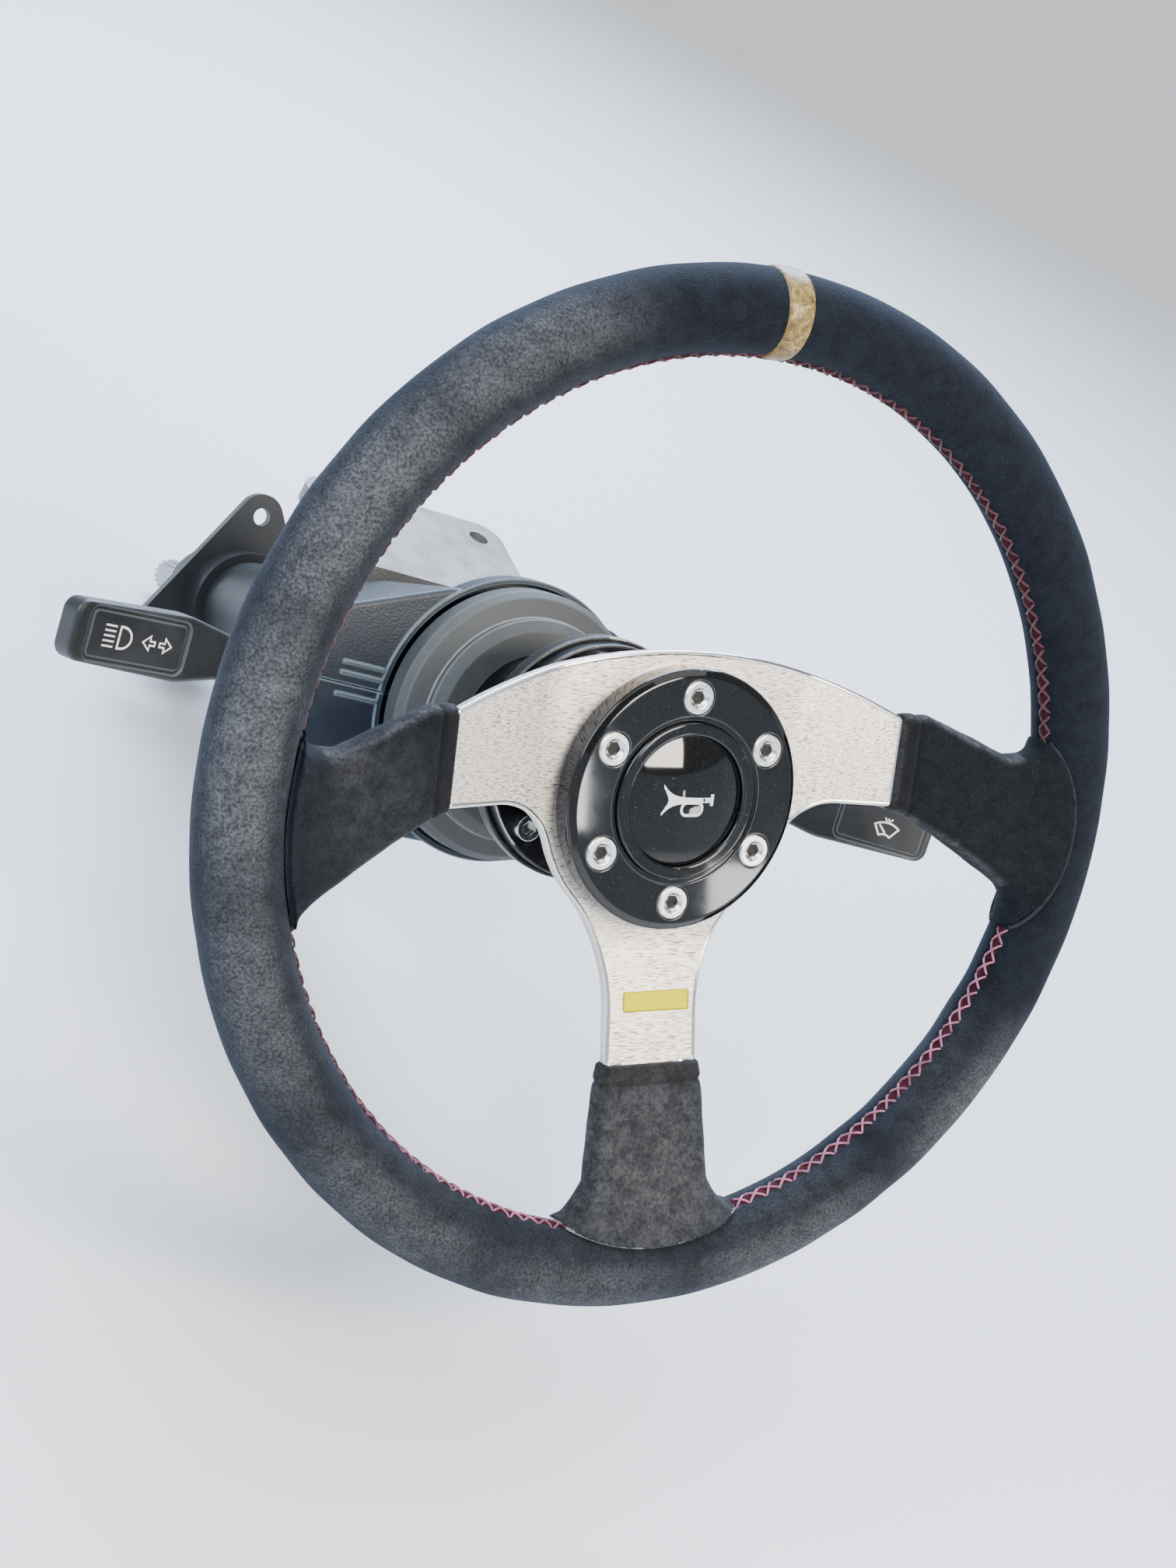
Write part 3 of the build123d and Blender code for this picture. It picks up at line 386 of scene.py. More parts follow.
# what the turned pieces have in common
turned = {"metallic": 1.0, "roughness": 0.3, "relief": 0.15, "ringWidth": 0.4, "edge": 0.5}
plateEdge = turnedMetal("polishedAluminium", "wheel", dict(
    turned, low="#d2cfc8", high="#f4f2ec", mark="#aaa59b", polished="#fdfcfa", roughness=0.1, relief=0.1,
    ringWidth=0.35, markSize=6.0, edge=0.9))
screwSteel = turnedMetal("polishedSteel", "wheel", dict(
    turned, low="#bdbcb8", high="#f2f1ee", mark="#77756f", polished="#ffffff", roughness=0.2, markSize=2.2,
    edge=0.4))
# dark steel inside the screws' hex sockets: painted shade in the recess
socketShade = turnedMetal("socketShadeSteel", "wheel", dict(
    turned, low="#1d1c1b", high="#3c3a38", mark="#121110", polished="#8c8a86", metallic=0.8, roughness=0.35,
    markSize=1.5, edge=0.2))
hubAnodised = turnedMetal("blackAnodisedAluminium", "wheel", dict(
    turned, low="#0f1012", high="#232528", mark="#45474b", polished="#e9e7e2", metallic=0.85, roughness=0.36,
    relief=0.3, ringWidth=0.5, markSize=7.0, edge=0.9))
zincSteel = turnedMetal("zincPlatedSteel", "column", dict(
    turned, low="#a8a08a", high="#d9d2bd", mark="#7d765f", polished="#eee9db", relief=0.2, ringWidth=0.6,
    markSize=3.0))
shaftSteel = turnedMetal("turnedSteel", "column", dict(
    turned, low="#77777a", high="#b9b9bb", mark="#55504a", polished="#dcdcdd", relief=0.3, ringWidth=0.45,
    markSize=9.0))
bearingSteel = turnedMetal("groundSteel", "column", dict(
    turned, low="#a9aaac", high="#dcdddf", mark="#6f6f70", polished="#f4f4f5", roughness=0.18, ringWidth=0.3,
    markSize=4.0))

# what the moulded pieces have in common
moulded = {
    "ior": 1.53, "specular": 0.5, "grainSize": 0.45, "relief": 0.0, "scuffSize": 14.0, "scuffShare": 0.5,
    "dust": "#8f9296", "dustSize": 0.6, "dustShare": 0.25, "edge": 0.7, "edgeWearAndHighlight": 0.35, "rubbed": "#6a7075"}
glossBlack = mouldedPlastic("glossAbs", "wheel", dict(
    moulded, colour="#030405", scuff="#101216", roughness=0.03, scuffDulls=0.03, dustShare=0.3, edgeWearAndHighlight=0.5))
buttonBlack = mouldedPlastic("glossAbsButton", "wheel", dict(
    moulded, colour="#040506", scuff="#15171a", roughness=0.04, scuffDulls=0.03, dustShare=0.3))
# its pale step edges are a painted highlight
shroudPlastic = mouldedPlastic("charcoalAbs", "wheel", dict(
    moulded, colour="#3b3e3e", scuff="#4d5150", scuffShare=0.6, roughness=0.55, scuffDulls=0.15, grainSize=0.5,
    relief=0.35, dust="#8c8a86", dustShare=0.4, edge=1.3, edgeWearAndHighlight=0.8, rubbed="#a9a8a2"))
# its pale edges are mostly a painted highlight along the top edge and seams
housingPlastic = mouldedPlastic("grainedAbs", "column", dict(
    moulded, colour="#091825", scuff="#192e40", scuffShare=0.55, roughness=0.42, scuffDulls=0.18, grainSize=0.8,
    relief=0.8, edge=1.3, edgeWearAndHighlight=0.7, rubbed="#7f929c"))
stalkPlastic = mouldedPlastic("satinAbs", "column", dict(
    moulded, colour="#14171a", scuff="#2b2f33", roughness=0.36, scuffDulls=0.18, grainSize=0.35, relief=0.2,
    edge=0.9, edgeWearAndHighlight=0.55, rubbed="#7d848a"))
symbolInk = mouldedPlastic("whiteInk", "column", dict(
    moulded, colour="#e9eae8", scuff="#b8b9b6", scuffShare=0.4, roughness=0.55, scuffDulls=0.1, scuffSize=3.0,
    dustShare=0.0))
hornInk = mouldedPlastic("silverInk", "wheel", dict(
    moulded, colour="#d4d6d7", scuff="#9b9d9e", roughness=0.35, scuffDulls=0.2, scuffSize=3.0, dustShare=0.0))
bootRubber = mouldedPlastic("rubber", "column", dict(
    moulded, ior=1.52, colour="#101112", scuff="#26282a", roughness=0.7, scuffDulls=0.12, grainSize=0.5,
    relief=0.3))
labelVinyl = mouldedPlastic("vinyl", "wheel", dict(
    moulded, specular=0.05, colour="#d6c700", scuff="#b0a300", roughness=0.7, scuffDulls=0.2, scuffSize=4.0,
    dust="#4d4600", edgeWearAndHighlight=0.0))
tubePaint = castMetal("satinPaint", {
    "colour": "#17191b", "stain": "#222527", "grit": "#303437", "metallic": 0.0, "roughness": 0.38, "relief": 0.2,
    "pebbleSize": 0.8, "stainSize": 22.0})
castAluminium = castMetal("castAluminium", {
    "colour": "#85837f", "stain": "#6a6864", "grit": "#a8a6a1", "metallic": 0.7, "roughness": 0.58, "relief": 0.8,
    "pebbleSize": 1.1, "stainSize": 14.0})
print("materials ready")


# CAD pieces that keep their shape

def dress(node, *materials, pick=None):
    # pick tells from the middle of each face which of the materials it takes
    mesh = frame["nodes"][node].data
    mesh.materials.clear()
    for material in materials:
        mesh.materials.append(material)
    index = np.zeros(len(mesh.polygons), int)
    if pick:
        middle = np.zeros(3 * len(index))
        mesh.polygons.foreach_get("center", middle)
        index = pick(toWheel(middle.reshape(-1, 3))).astype(int)
    mesh.polygons.foreach_set("material_index", index)
    mesh.update()


screws = {"count": 6, "circle": 35.0, "socket": 2.4, "below": -0.5}  # radius of their circle, of the hexagon, its top


def screwSockets(middle):
    # inside a screw's hexagon, below the head's rim
    apart = 2 * math.pi / screws["count"]
    turn = np.arctan2(middle[:, 1], middle[:, 0]) - math.pi / 2
    turn -= np.round(turn / apart) * apart
    reach = np.hypot(middle[:, 0], middle[:, 1])
    off = np.hypot(reach * np.cos(turn) - screws["circle"], reach * np.sin(turn))
    return (off < screws["socket"]) & (middle[:, 2] < screws["below"])


for material, nodes in (
        (plateFace, ["spoke_plate"]), (glossBlack, ["button_ring", "horn_bezel"]), (buttonBlack, ["horn_button"]),
        (screwSteel, ["spacer_bolts"]), (hubAnodised, ["hub_spacer", "hub_boss"]), (shroudPlastic, ["hub_shroud"]),
        (shaftSteel, ["steering_shaft"]), (zincSteel, ["shaft_nut", "housing_screws", "bracket_bolts"]),
        (tubePaint, ["column_tube", "lower_flange"]), (bearingSteel, ["upper_bearing", "lower_bearing"]),
        (castAluminium, ["switch_body", "column_bracket", "bracket_cap"]),
        (housingPlastic, ["switch_housing_upper", "switch_housing_lower"]),
        (stalkPlastic, ["wiper_stalk", "light_stalk"]), (bootRubber, ["stalk_boots"])):
    for node in nodes:
        dress(node, material)
# the faces inside the sockets take the painted shade
dress("wheel_screws", screwSteel, socketShade, pick=screwSockets)
print("metal and plastic pieces dressed")


# Rim

def onGrip(turn, across, proud):
    # turn goes round the wheel, across goes round the grip from the seam on its inner side over the front
    reach = rim["radius"] - (rim["grip"] + proud) * np.cos(across)
    return np.stack([reach * np.cos(turn), reach * np.sin(turn),
                     rim["lift"] + (rim["grip"] + proud) * np.sin(across)], -1)


def makeRim():
    even = np.linspace(0, 2 * math.pi, rim["across"], endpoint=False)
    across = even - rim["crowding"] * np.sin(even)
    turn = np.linspace(0, 2 * math.pi, rim["around"], endpoint=False)
    turn, across = np.meshgrid(turn, across, indexing="ij")
    fromSeam = rim["grip"] * np.abs((across + math.pi) % (2 * math.pi) - math.pi)
    proud = -rim["seamDepth"] * np.exp(-(fromSeam / rim["seamWidth"]) ** 2)
    chance = np.random.default_rng(4)
    for _ in range(rim["wrinkles"]):
        waves, rolls = chance.integers(*rim["waves"]), chance.integers(*rim["rolls"])
        proud += rim["wrinkle"] * np.sin(waves * turn + rolls * across + chance.uniform(0, 6.3))
    return newPiece("rimSuede", onGrip(turn, across, proud).reshape(-1, 3), gridFaces(rim["around"], rim["across"]),
                    "wheel", rimSuede, "suede")


ringCover = makeRim()
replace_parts(ringCover, "rim_grip")

# the band at the top centre: degrees round the wheel, its width, how far it stands out and how its sides turn in
mark = {"turn": 88.1, "width": 10.7, "rise": 0.45, "crown": 0.4, "edgeDrop": 1.2, "across": 64, "along": 14}
# its dirt colour also paints the shade along the band's sides
markLeather = dyedLeather({
    "dye": "#75602a", "rubbed": "#b99d5c", "dirt": "#30270f", "turn": mark["turn"], "edge": (4.3, 5.6), "grain": 0.9,
    "rubSize": 4.0, "dirtSize": 2.2})


def makeMark():
    side = np.linspace(-1, 1, mark["along"])
    across = np.linspace(0, 2 * math.pi, mark["across"], endpoint=False)
    across, side = np.meshgrid(across, side, indexing="ij")
    turn = math.radians(mark["turn"]) + side * mark["width"] / 2 / rim["radius"]
    proud = mark["rise"] + mark["crown"] * (1 - side ** 2) - mark["edgeDrop"] * side ** 12
    return newPiece("centreMark", onGrip(turn, across, proud).reshape(-1, 3),
                    gridFaces(mark["across"], mark["along"], closeColumns=False),
                    "wheel", markLeather, "mark_paint")


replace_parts(makeMark(), "centre_mark")
print("rim made")


# Sleeves over the ends of the spokes

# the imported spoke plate: heights of its middle and its front, and how far out a spoke bends forward
plate = {"middle": -11.0, "front": -9.0, "bend": 49.0}
spokeSlope = math.atan2(rim["lift"] - plate["middle"], rim["radius"] - rim["grip"] - plate["bend"])
sleeve = {
    # one row per section: distance out, height, turn, width, thickness
    "side": [(88, 13.4, 0, 33.6, 7.6), (98, 11.5, -13, 37.5, 9.6), (115, 3.6, -24, 38.0, 11.4),
             (131, -4.4, -20, 42.0, 14.0), (151, -9.5, -6, 60.0, 19.0)],
    "lower": [(92, 0, 0, 38.5, 7.6), (101, 0, 0, 42.5, 9.6), (117, 0, 0, 45.5, 11.4), (132, 0, 0, 48.0, 14.0),
              (150, 0, 0, 70.0, 20.0)],
    "corner": 0.5, "spokeEnd": 156,  # flat left at the sections' ends, where the bar ends inside the grip
    # each lobe laid on the rim is part of a circle: its centre and radius
    "rightLobe": (102.0, -7.5, 53.0), "leftLobe": (69.4, -3.0, 79.5), "lowerLobe": (73.6, 0.0, 77.0),
    "lobeProud": 1.1, "blend": 8.0,
    "hemWidth": 5.5, "hemProud": 0.5, "hemEnd": 0.25, "groove": 0.8, "grooveWidth": 0.6,
    # shallow folds, and gathers along the lobe's cut: how deep, from one to the next, how far in, how wide
    "wrinkle": 0.12, "gather": 0.4, "gatherStep": 4.6, "gatherIn": 2.8, "gatherWidth": 2.2, "sway": (1.3, 9),
    # the mesh: its step, and the room it is looked for in, before the hem, past the lobe, to each side, down and up
    "step": 0.8, "room": (2.5, 3, 48, -14, 26)}
# share and width of the pale rolled edges along the sides and at the mouth, wear and a painted highlight;
# of the dark hem, and of the painted shade in the groove just past it
wear = {"side": 0.6, "sideWidth": 1.2, "sideEnd": 137, "mouth": 0.5, "mouthWidth": 0.8,
        "hem": 0.35, "line": 0.45, "lineWidth": 0.6, "lineIn": 0.5}


def sleeveField(rows, lobe, x, y, z):
    # below zero inside the suede: a rounded bar over the spoke, melted into a thin lobe on the rim
    rows = np.array(rows, float).T
    height, turn, width, thick = (np.interp(x, rows[0], row) for row in rows[1:])
    pastHem = x - rows[0, 0] - sleeve["hemWidth"]
    hem = 1 / (1 + np.exp(pastHem / sleeve["hemEnd"]))
    groove = np.exp(-((pastHem - sleeve["grooveWidth"]) / sleeve["grooveWidth"]) ** 2)
    through = (z - plate["middle"] - math.tan(spokeSlope) * (x - plate["bend"])) * math.cos(spokeSlope)
    over = (y - height) * np.cos(np.radians(turn))
    corner = thick / 2 - sleeve["corner"]
    a = np.abs(over) - width / 2 + corner
    b = np.abs(through) - thick / 2 + corner
    spoke = np.hypot(np.maximum(a, 0), np.maximum(b, 0)) + np.minimum(np.maximum(a, b), 0) - corner
    spoke = np.maximum(spoke - sleeve["hemProud"] * hem + sleeve["groove"] * groove, x - sleeve["spokeEnd"])
    grip = np.hypot(np.hypot(x, y) - rim["radius"], z - rim["lift"]) - rim["grip"] - sleeve["lobeProud"]
    share = np.clip(0.5 + 0.5 * (grip - spoke) / sleeve["blend"], 0, 1)
    joined = grip * (1 - share) + spoke * share - sleeve["blend"] * share * (1 - share)
    joined += sleeve["wrinkle"] * (  # 12 to 19 mm from fold to fold
        np.sin(0.31 * x + 0.23 * y) * np.sin(0.17 * x - 0.29 * y + 1.1) + np.sin(0.5 * y + 0.12 * x + 0.4) * 0.5)
    zone = np.hypot(x - lobe[0], y - lobe[1]) - lobe[2]
    around = lobe[2] * np.arctan2(y - lobe[1], x - lobe[0])
    sway, swayStep = sleeve["sway"]
    gather = 0.5 + 0.5 * np.sin(2 * math.pi * around / sleeve["gatherStep"] + sway * np.sin(around / swayStep))
    joined += sleeve["gather"] * gather * np.exp(-((zone + sleeve["gatherIn"]) / sleeve["gatherWidth"]) ** 2)
    return np.maximum(np.maximum(joined, zone), rows[0, 0] - x)


def netSurface(field, low, high, step):
    # a closed mesh where the field crosses zero: one point in each cell that it crosses
    grids = np.meshgrid(*[np.arange(a, b, step) for a, b in zip(low, high)], indexing="ij")
    value = field(*grids)
    cells = tuple(n - 1 for n in value.shape)
    total, count = np.zeros(cells + (3,)), np.zeros(cells)

    def corner(offset):
        return value[tuple(slice(o, o + n) for o, n in zip(offset, cells))]

    for offset in itertools.product((0, 1), repeat=3):
        for way in range(3):
            if offset[way] == 0:
                other = tuple(1 if i == way else o for i, o in enumerate(offset))
                a, b = corner(offset), corner(other)
                cross = (a < 0) != (b < 0)
                share = np.where(cross, a / np.where(cross, a - b, 1), 0)
                point = np.array(offset, float) + share[..., None] * np.eye(3)[way]
                total += cross[..., None] * point
                count += cross
    used = count > 0
    number = np.full(cells, -1)
    number[used] = np.arange(used.sum())
    points = (np.argwhere(used) + total[used] / count[used][:, None]) * step + np.array(low)
    faces = []
    for way in range(3):
        u, v = [i for i in range(3) if i != way]
        shift = np.eye(3, dtype=int)
        ends = [slice(1, n - 1) for n in value.shape]
        a = value[tuple(slice(0, -1) if i == way else ends[i] for i in range(3))]
        b = value[tuple(slice(1, None) if i == way else ends[i] for i in range(3))]
        spots = np.argwhere((a < 0) != (b < 0))
        spots[:, u] += 1
        spots[:, v] += 1
        quad = [spots - shift[u] - shift[v], spots - shift[v], spots, spots - shift[u]]
        faces += np.stack([number[tuple(q.T)] for q in quad], 1).tolist()
    return points, faces


def makeSleeve(name, node, rows, lobe, move):
    start = rows[0][0]
    before, beyond, aside, down, up = sleeve["room"]
    points, faces = netSurface(lambda x, y, z: sleeveField(rows, lobe, x, y, z),
                               (start - before, lobe[1] - aside, down),
                               (lobe[0] + lobe[2] + beyond, lobe[1] + aside, up), sleeve["step"])
    piece = newPiece(name, move(points), faces, "wheel", sleeveSuede, "suede")
    x, y = points[:, 0], points[:, 1]
    rows = np.array(rows, float).T
    away = np.abs(y - np.interp(x, rows[0], rows[1])) - np.interp(x, rows[0], rows[3]) / 2
    # pale rolled edges: wear and a painted highlight
    sides = wear["side"] * np.exp(-(away / wear["sideWidth"]) ** 2) * (x < wear["sideEnd"])
    mouth = wear["mouth"] * np.exp(-((x - start) / wear["mouthWidth"]) ** 2)
    pastHem = x - start - sleeve["hemWidth"]
    # painted shade along the groove just past the hem
    line = wear["line"] * np.exp(-((pastHem - wear["lineIn"]) / wear["lineWidth"]) ** 2)
    for mask, value in (("wornAndLit", np.maximum(sides, mouth)), ("hem", np.where(pastHem < 0, wear["hem"], 0) + line)):
        piece.data.attributes.new(mask, "FLOAT", "POINT").data.foreach_set("value", value.astype(np.float32))
    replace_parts(piece, node)


def mirrored(points):
    return points * (-1, 1, 1)


def lowered(points):
    return points[:, (1, 0, 2)] * (1, -1, 1)


# all three are drawn on the right-hand spoke, and the last item of each takes it to its own
spokes = [("sleeveRight", "spoke_sleeve_right", sleeve["side"], sleeve["rightLobe"], np.copy),
          ("sleeveLeft", "spoke_sleeve_left", sleeve["side"], sleeve["leftLobe"], mirrored),
          ("sleeveLower", "spoke_sleeve_lower", sleeve["lower"], sleeve["lowerLobe"], lowered)]
for spoke in spokes:
    makeSleeve(*spoke)
print("sleeves made")


# Edges of the lobes, seam and its stitches

def tubes(paths, radius, sides, closed=False):
    # round threads along paths of equally many points, all in one mesh
    paths = np.asarray(paths, float)
    ahead = np.roll(paths, -1, 1) - np.roll(paths, 1, 1)
    if not closed:
        ahead[:, 0], ahead[:, -1] = paths[:, 1] - paths[:, 0], paths[:, -1] - paths[:, -2]
    ahead /= np.linalg.norm(ahead, axis=2, keepdims=True)
    side = np.cross(ahead, (0.31, 0.17, 0.93))  # a direction that no path follows
    side /= np.linalg.norm(side, axis=2, keepdims=True)
    up = np.cross(side, ahead)
    turn = np.linspace(0, 2 * math.pi, sides, endpoint=False)
    section = side[:, :, None] * np.cos(turn)[:, None] + up[:, :, None] * np.sin(turn)[:, None]
    points = paths[:, :, None] + radius * section
    count, length = paths.shape[:2]
    pattern = gridFaces(length, sides, closeRows=closed)
    if not closed:
        pattern += [tuple(range(sides)), tuple(range((length - 1) * sides, length * sides))]
    faces = [tuple(v + k * length * sides for v in face) for k in range(count) for face in pattern]
    return points.reshape(-1, 3), faces


# thickness of the cut edge and how far it stands out of the lobe; it ends at this share of the grip's inner half
lobeEdge = {"radius": 0.55, "out": 0.15, "inner": 0.94, "points": 220, "sides": 8}


def lobeOutline(lobe, front):
    # where the lobe's round cut crosses the grip, from the inner side out and back
    turn = np.linspace(0, 2 * math.pi, 4 * lobeEdge["points"])
    reach = lobe[2] + lobeEdge["out"]
    x, y = lobe[0] + reach * np.cos(turn), lobe[1] + reach * np.sin(turn)
    skin = rim["grip"] + sleeve["lobeProud"]
    across = np.hypot(x, y) - rim["radius"]
    on = across > -lobeEdge["inner"] * skin
    rise = np.sqrt(np.maximum(skin ** 2 - across ** 2, 0))
    line = np.stack([x, y, rim["lift"] + (rise if front else -rise)], 1)
    start = int(np.argmax(~on))
    return evenLine(np.roll(line, -start, 0)[np.roll(on, -start)], lobeEdge["points"])


edgeLines = [move(lobeOutline(lobe, front)) for *_, lobe, move in spokes for front in (True, False)]
newPiece("lobeEdges", *tubes(edgeLines, lobeEdge["radius"], lobeEdge["sides"]), "wheel", cutSuede, "suede")

stitch = {
    "pitch": 6.2, "reach": 2.7, "thread": 0.4, "turn": 8.0,  # apart, to each side, radius, degrees toward the front
    "proud": 0.1, "over": 0.3, "crossing": 0.35, "pulledIn": 0.7, "loose": 0.12, "gap": 0.3, "points": 7, "sides": 6}
# half the width of the seam, how far it stands out, how far its sides are drawn in
seam = {"width": 2.0, "proud": 0.16, "drawn": 0.5, "around": 240, "across": 7}


def makeStitches():
    # crossed stitches over the seam on the rim's inner side, between the lobes
    inner = rim["radius"] - rim["grip"]
    count = round(2 * math.pi * inner / stitch["pitch"])
    lobes = [(move(np.array([[lobe[0], lobe[1], 0.0]]))[0], lobe[2]) for *_, lobe, move in spokes]
    along = np.linspace(-1, 1, stitch["points"])
    chance = np.random.default_rng(9)
    paths = []
    for turn in 2 * math.pi * np.arange(count) / count:
        spot = inner * np.array((math.cos(turn), math.sin(turn)))
        if any(np.hypot(*(spot - centre[:2])) < reach + stitch["gap"] for centre, reach in lobes):
            continue
        for way in (-1, 1):
            loose = chance.uniform(-stitch["loose"], stitch["loose"], 3)
            lean = turn + along * (stitch["pitch"] * (0.5 + loose[0]) / inner)
            across = math.radians(stitch["turn"]) + way * along * (stitch["reach"] + loose[1]) / rim["grip"]
            over = stitch["over"] + stitch["crossing"] * (way > 0) + loose[2]
            proud = stitch["proud"] + over * (1 - along ** 2) - stitch["pulledIn"] * np.abs(along) ** 9
            paths.append(onGrip(lean, across, proud))
    newPiece("seamStitches", *tubes(paths, stitch["thread"], stitch["sides"]), "wheel", seamThread, "suede")


def makeSeam():
    # the seam under the stitches: both edges of the suede drawn together, dark maroon under the thread
    turn = np.linspace(0, 2 * math.pi, seam["around"], endpoint=False)
    turn, along = np.meshgrid(turn, np.linspace(-1, 1, seam["across"]), indexing="ij")
    across = math.radians(stitch["turn"]) + along * seam["width"] / rim["grip"]
    points = onGrip(turn, across, seam["proud"] - seam["drawn"] * along ** 4).reshape(-1, 3)
    newPiece("seam", points, gridFaces(seam["around"], seam["across"], closeColumns=False), "wheel", seamMaroon, "suede")


makeStitches()
makeSeam()
print("stitches sewn")


# Edge of the spoke plate

bead = {
    "radius": 0.95, "inset": 0.66, "points": 1200, "sides": 10,  # its thickness, how far it is sunk into the plate
    "clear": 45.5,  # nearer to the hub the ring hides the plate's edge
    "front": 0.7, "flank": 0.5,  # faces that look forward more than the first are the front, less than this the side
    "weld": 0.00001}  # metres within which packed points are one


def frontOutline(node):
    # the loop where the plate's front meets its sides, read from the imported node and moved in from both
    shell = bmesh.new()
    shell.from_mesh(frame["nodes"][node].data)
    bmesh.ops.remove_doubles(shell, verts=shell.verts, dist=bead["weld"])
    normalOf = {face.index: np.array(face.normal) @ np.array(axes["wheel"].to_3x3()) for face in shell.faces}
    spotOf = {vertex.index: toWheel(np.array(vertex.co)) for vertex in shell.verts}
    links = {}
    for edge in shell.edges:
        if len(edge.link_faces) != 2:
            continue
        lifts = [normalOf[face.index][2] for face in edge.link_faces]
        ends = [vertex.index for vertex in edge.verts]
        onEdge = max(lifts) > bead["front"] and abs(min(lifts, key=abs)) < bead["flank"]
        if onEdge and min(np.hypot(*spotOf[i][:2]) for i in ends) > bead["clear"]:
            off = sum(normalOf[face.index] for face in edge.link_faces)
            for a, b in (ends, ends[::-1]):
                links.setdefault(a, []).append((b, off))
    shell.free()
    start = min(links)
    loop, before, here = [], None, start
    while here is not None and not (loop and here == start):
        off = sum(way for _, way in links[here])
        loop.append(spotOf[here] - bead["inset"] * off / np.abs(off).max())
        before, here = here, next((to for to, _ in links[here] if to != before), None)
    return np.array(loop)


path = evenLine(frontOutline("spoke_plate"), bead["points"], closed=True)
newPiece("plateBead", *tubes([path], bead["radius"], bead["sides"], closed=True), "wheel", plateEdge, "plate_aluminium")
print("plate edge made")


# Label and symbols

# one corner lifts, from the shares of the half width and the half height that liftFrom gives
label = {"place": (1.6, -71.0), "size": (26.5, 6.9), "corner": 0.8, "thick": 0.18, "gap": 0.02,
         "lift": 0.35, "liftFrom": (0.6, 0.2), "columns": 40, "rows": 14}


def makeLabel():
    # a plain vinyl strip on the lower spoke
    columns, rows = label["columns"], label["rows"]
    across, down = np.meshgrid(np.linspace(-1, 1, columns), np.linspace(-1, 1, rows), indexing="ij")
    flat = np.stack([across, down], -1) * np.array(label["size"]) / 2
    middle = np.array(label["size"]) / 2 - label["corner"]  # of each rounded corner
    over = np.hypot(*np.moveaxis(np.maximum(np.abs(flat) - middle, 0), -1, 0))
    pull = label["corner"] / np.maximum(over, label["corner"])[..., None]
    x, y = np.moveaxis(np.sign(flat) * middle * (1 - pull) + flat * pull + label["place"], -1, 0)
    height = plate["front"] + (-y - plate["bend"]) * math.tan(spokeSlope)
    lift = label["lift"] * np.prod([np.clip((share - start) / (1 - start), 0, 1) ** 2
                                    for share, start in zip((across, -down), label["liftFrom"])], axis=0)
    top, under = (np.stack([x, y, height + raised + lift], -1).reshape(-1, 3)
                  for raised in (label["thick"], label["gap"]))
    faces = gridFaces(columns, rows, closeRows=False, closeColumns=False)
    count = columns * rows
    faces += [tuple(v + count for v in reversed(face)) for face in faces]
    number = np.arange(count).reshape(columns, rows)
    border = np.concatenate([number[0], number[1:, -1], number[-1, -2::-1], number[-2:0:-1, 0]]).tolist()
    faces += [(a, b, b + count, a + count) for a, b in zip(border, border[1:] + border[:1])]
    newPiece("spokeLabel", np.concatenate([top, under]), faces, "wheel", labelVinyl, "mark_paint")


makeLabel()


def inkLines(strokes, lay):
    # flat printed strokes: each is its points on the face, its width and whether it closes
    points, faces = [], []
    for line, width, closed in strokes:
        line = np.array(line, float)
        ahead, behind = np.roll(line, -1, 0) - line, line - np.roll(line, 1, 0)
        if not closed:
            ahead[-1], behind[0] = behind[-1], ahead[0]
        ahead, behind = (np.stack([-v[:, 1], v[:, 0]], 1) / np.linalg.norm(v, axis=1)[:, None]
                         for v in (ahead, behind))
        mitre = ahead + behind
        mitre /= np.linalg.norm(mitre, axis=1)[:, None]
        mitre /= np.maximum((mitre * ahead).sum(1), 0.5)[:, None]  # at most twice the width at a sharp corner
        width = np.broadcast_to(width, len(line))[:, None]
        start, count = len(points), len(line)
        points += [p for a, b in zip(line + mitre * width / 2, line - mitre * width / 2) for p in (a, b)]
        faces += [(start + 2 * i, start + 2 * i + 1, start + 2 * ((i + 1) % count) + 1, start + 2 * ((i + 1) % count))
                  for i in range(count if closed else count - 1)]
    return lay(np.array(points)), faces


def arc(x, y, radius, start, end, count=16, stretch=1.0):
    turn = np.radians(np.linspace(start, end, count))
    return [(x + radius * stretch * math.cos(t), y + radius * math.sin(t)) for t in turn]


def roundedBox(width, height, corner):
    line = []
    for x, y, start in ((1, 1, 0), (-1, 1, 90), (-1, -1, 180), (1, -1, 270)):
        line += arc(x * (width / 2 - corner), y * (height / 2 - corner), corner, start, start + 90, 7)
    return line


# elbows of the left and right stalk, the left paddle's tip, the middle of each printed panel counted from the elbow,
# the face's height over the stalk's middle line, the right stalk's turn in degrees and its root, the lines' width
paddle = {"elbow": ((122.0, -122.0), (122.0, -114.0)), "tip": (186.5, -97.6), "panelMiddle": (41.5, 47.0),
          "face": 4.3, "rightTurn": 2.4, "root": -151.0, "ink": 0.8}
paddleLean = math.atan2(paddle["tip"][1] - paddle["elbow"][0][1], paddle["tip"][0] - paddle["elbow"][0][0])


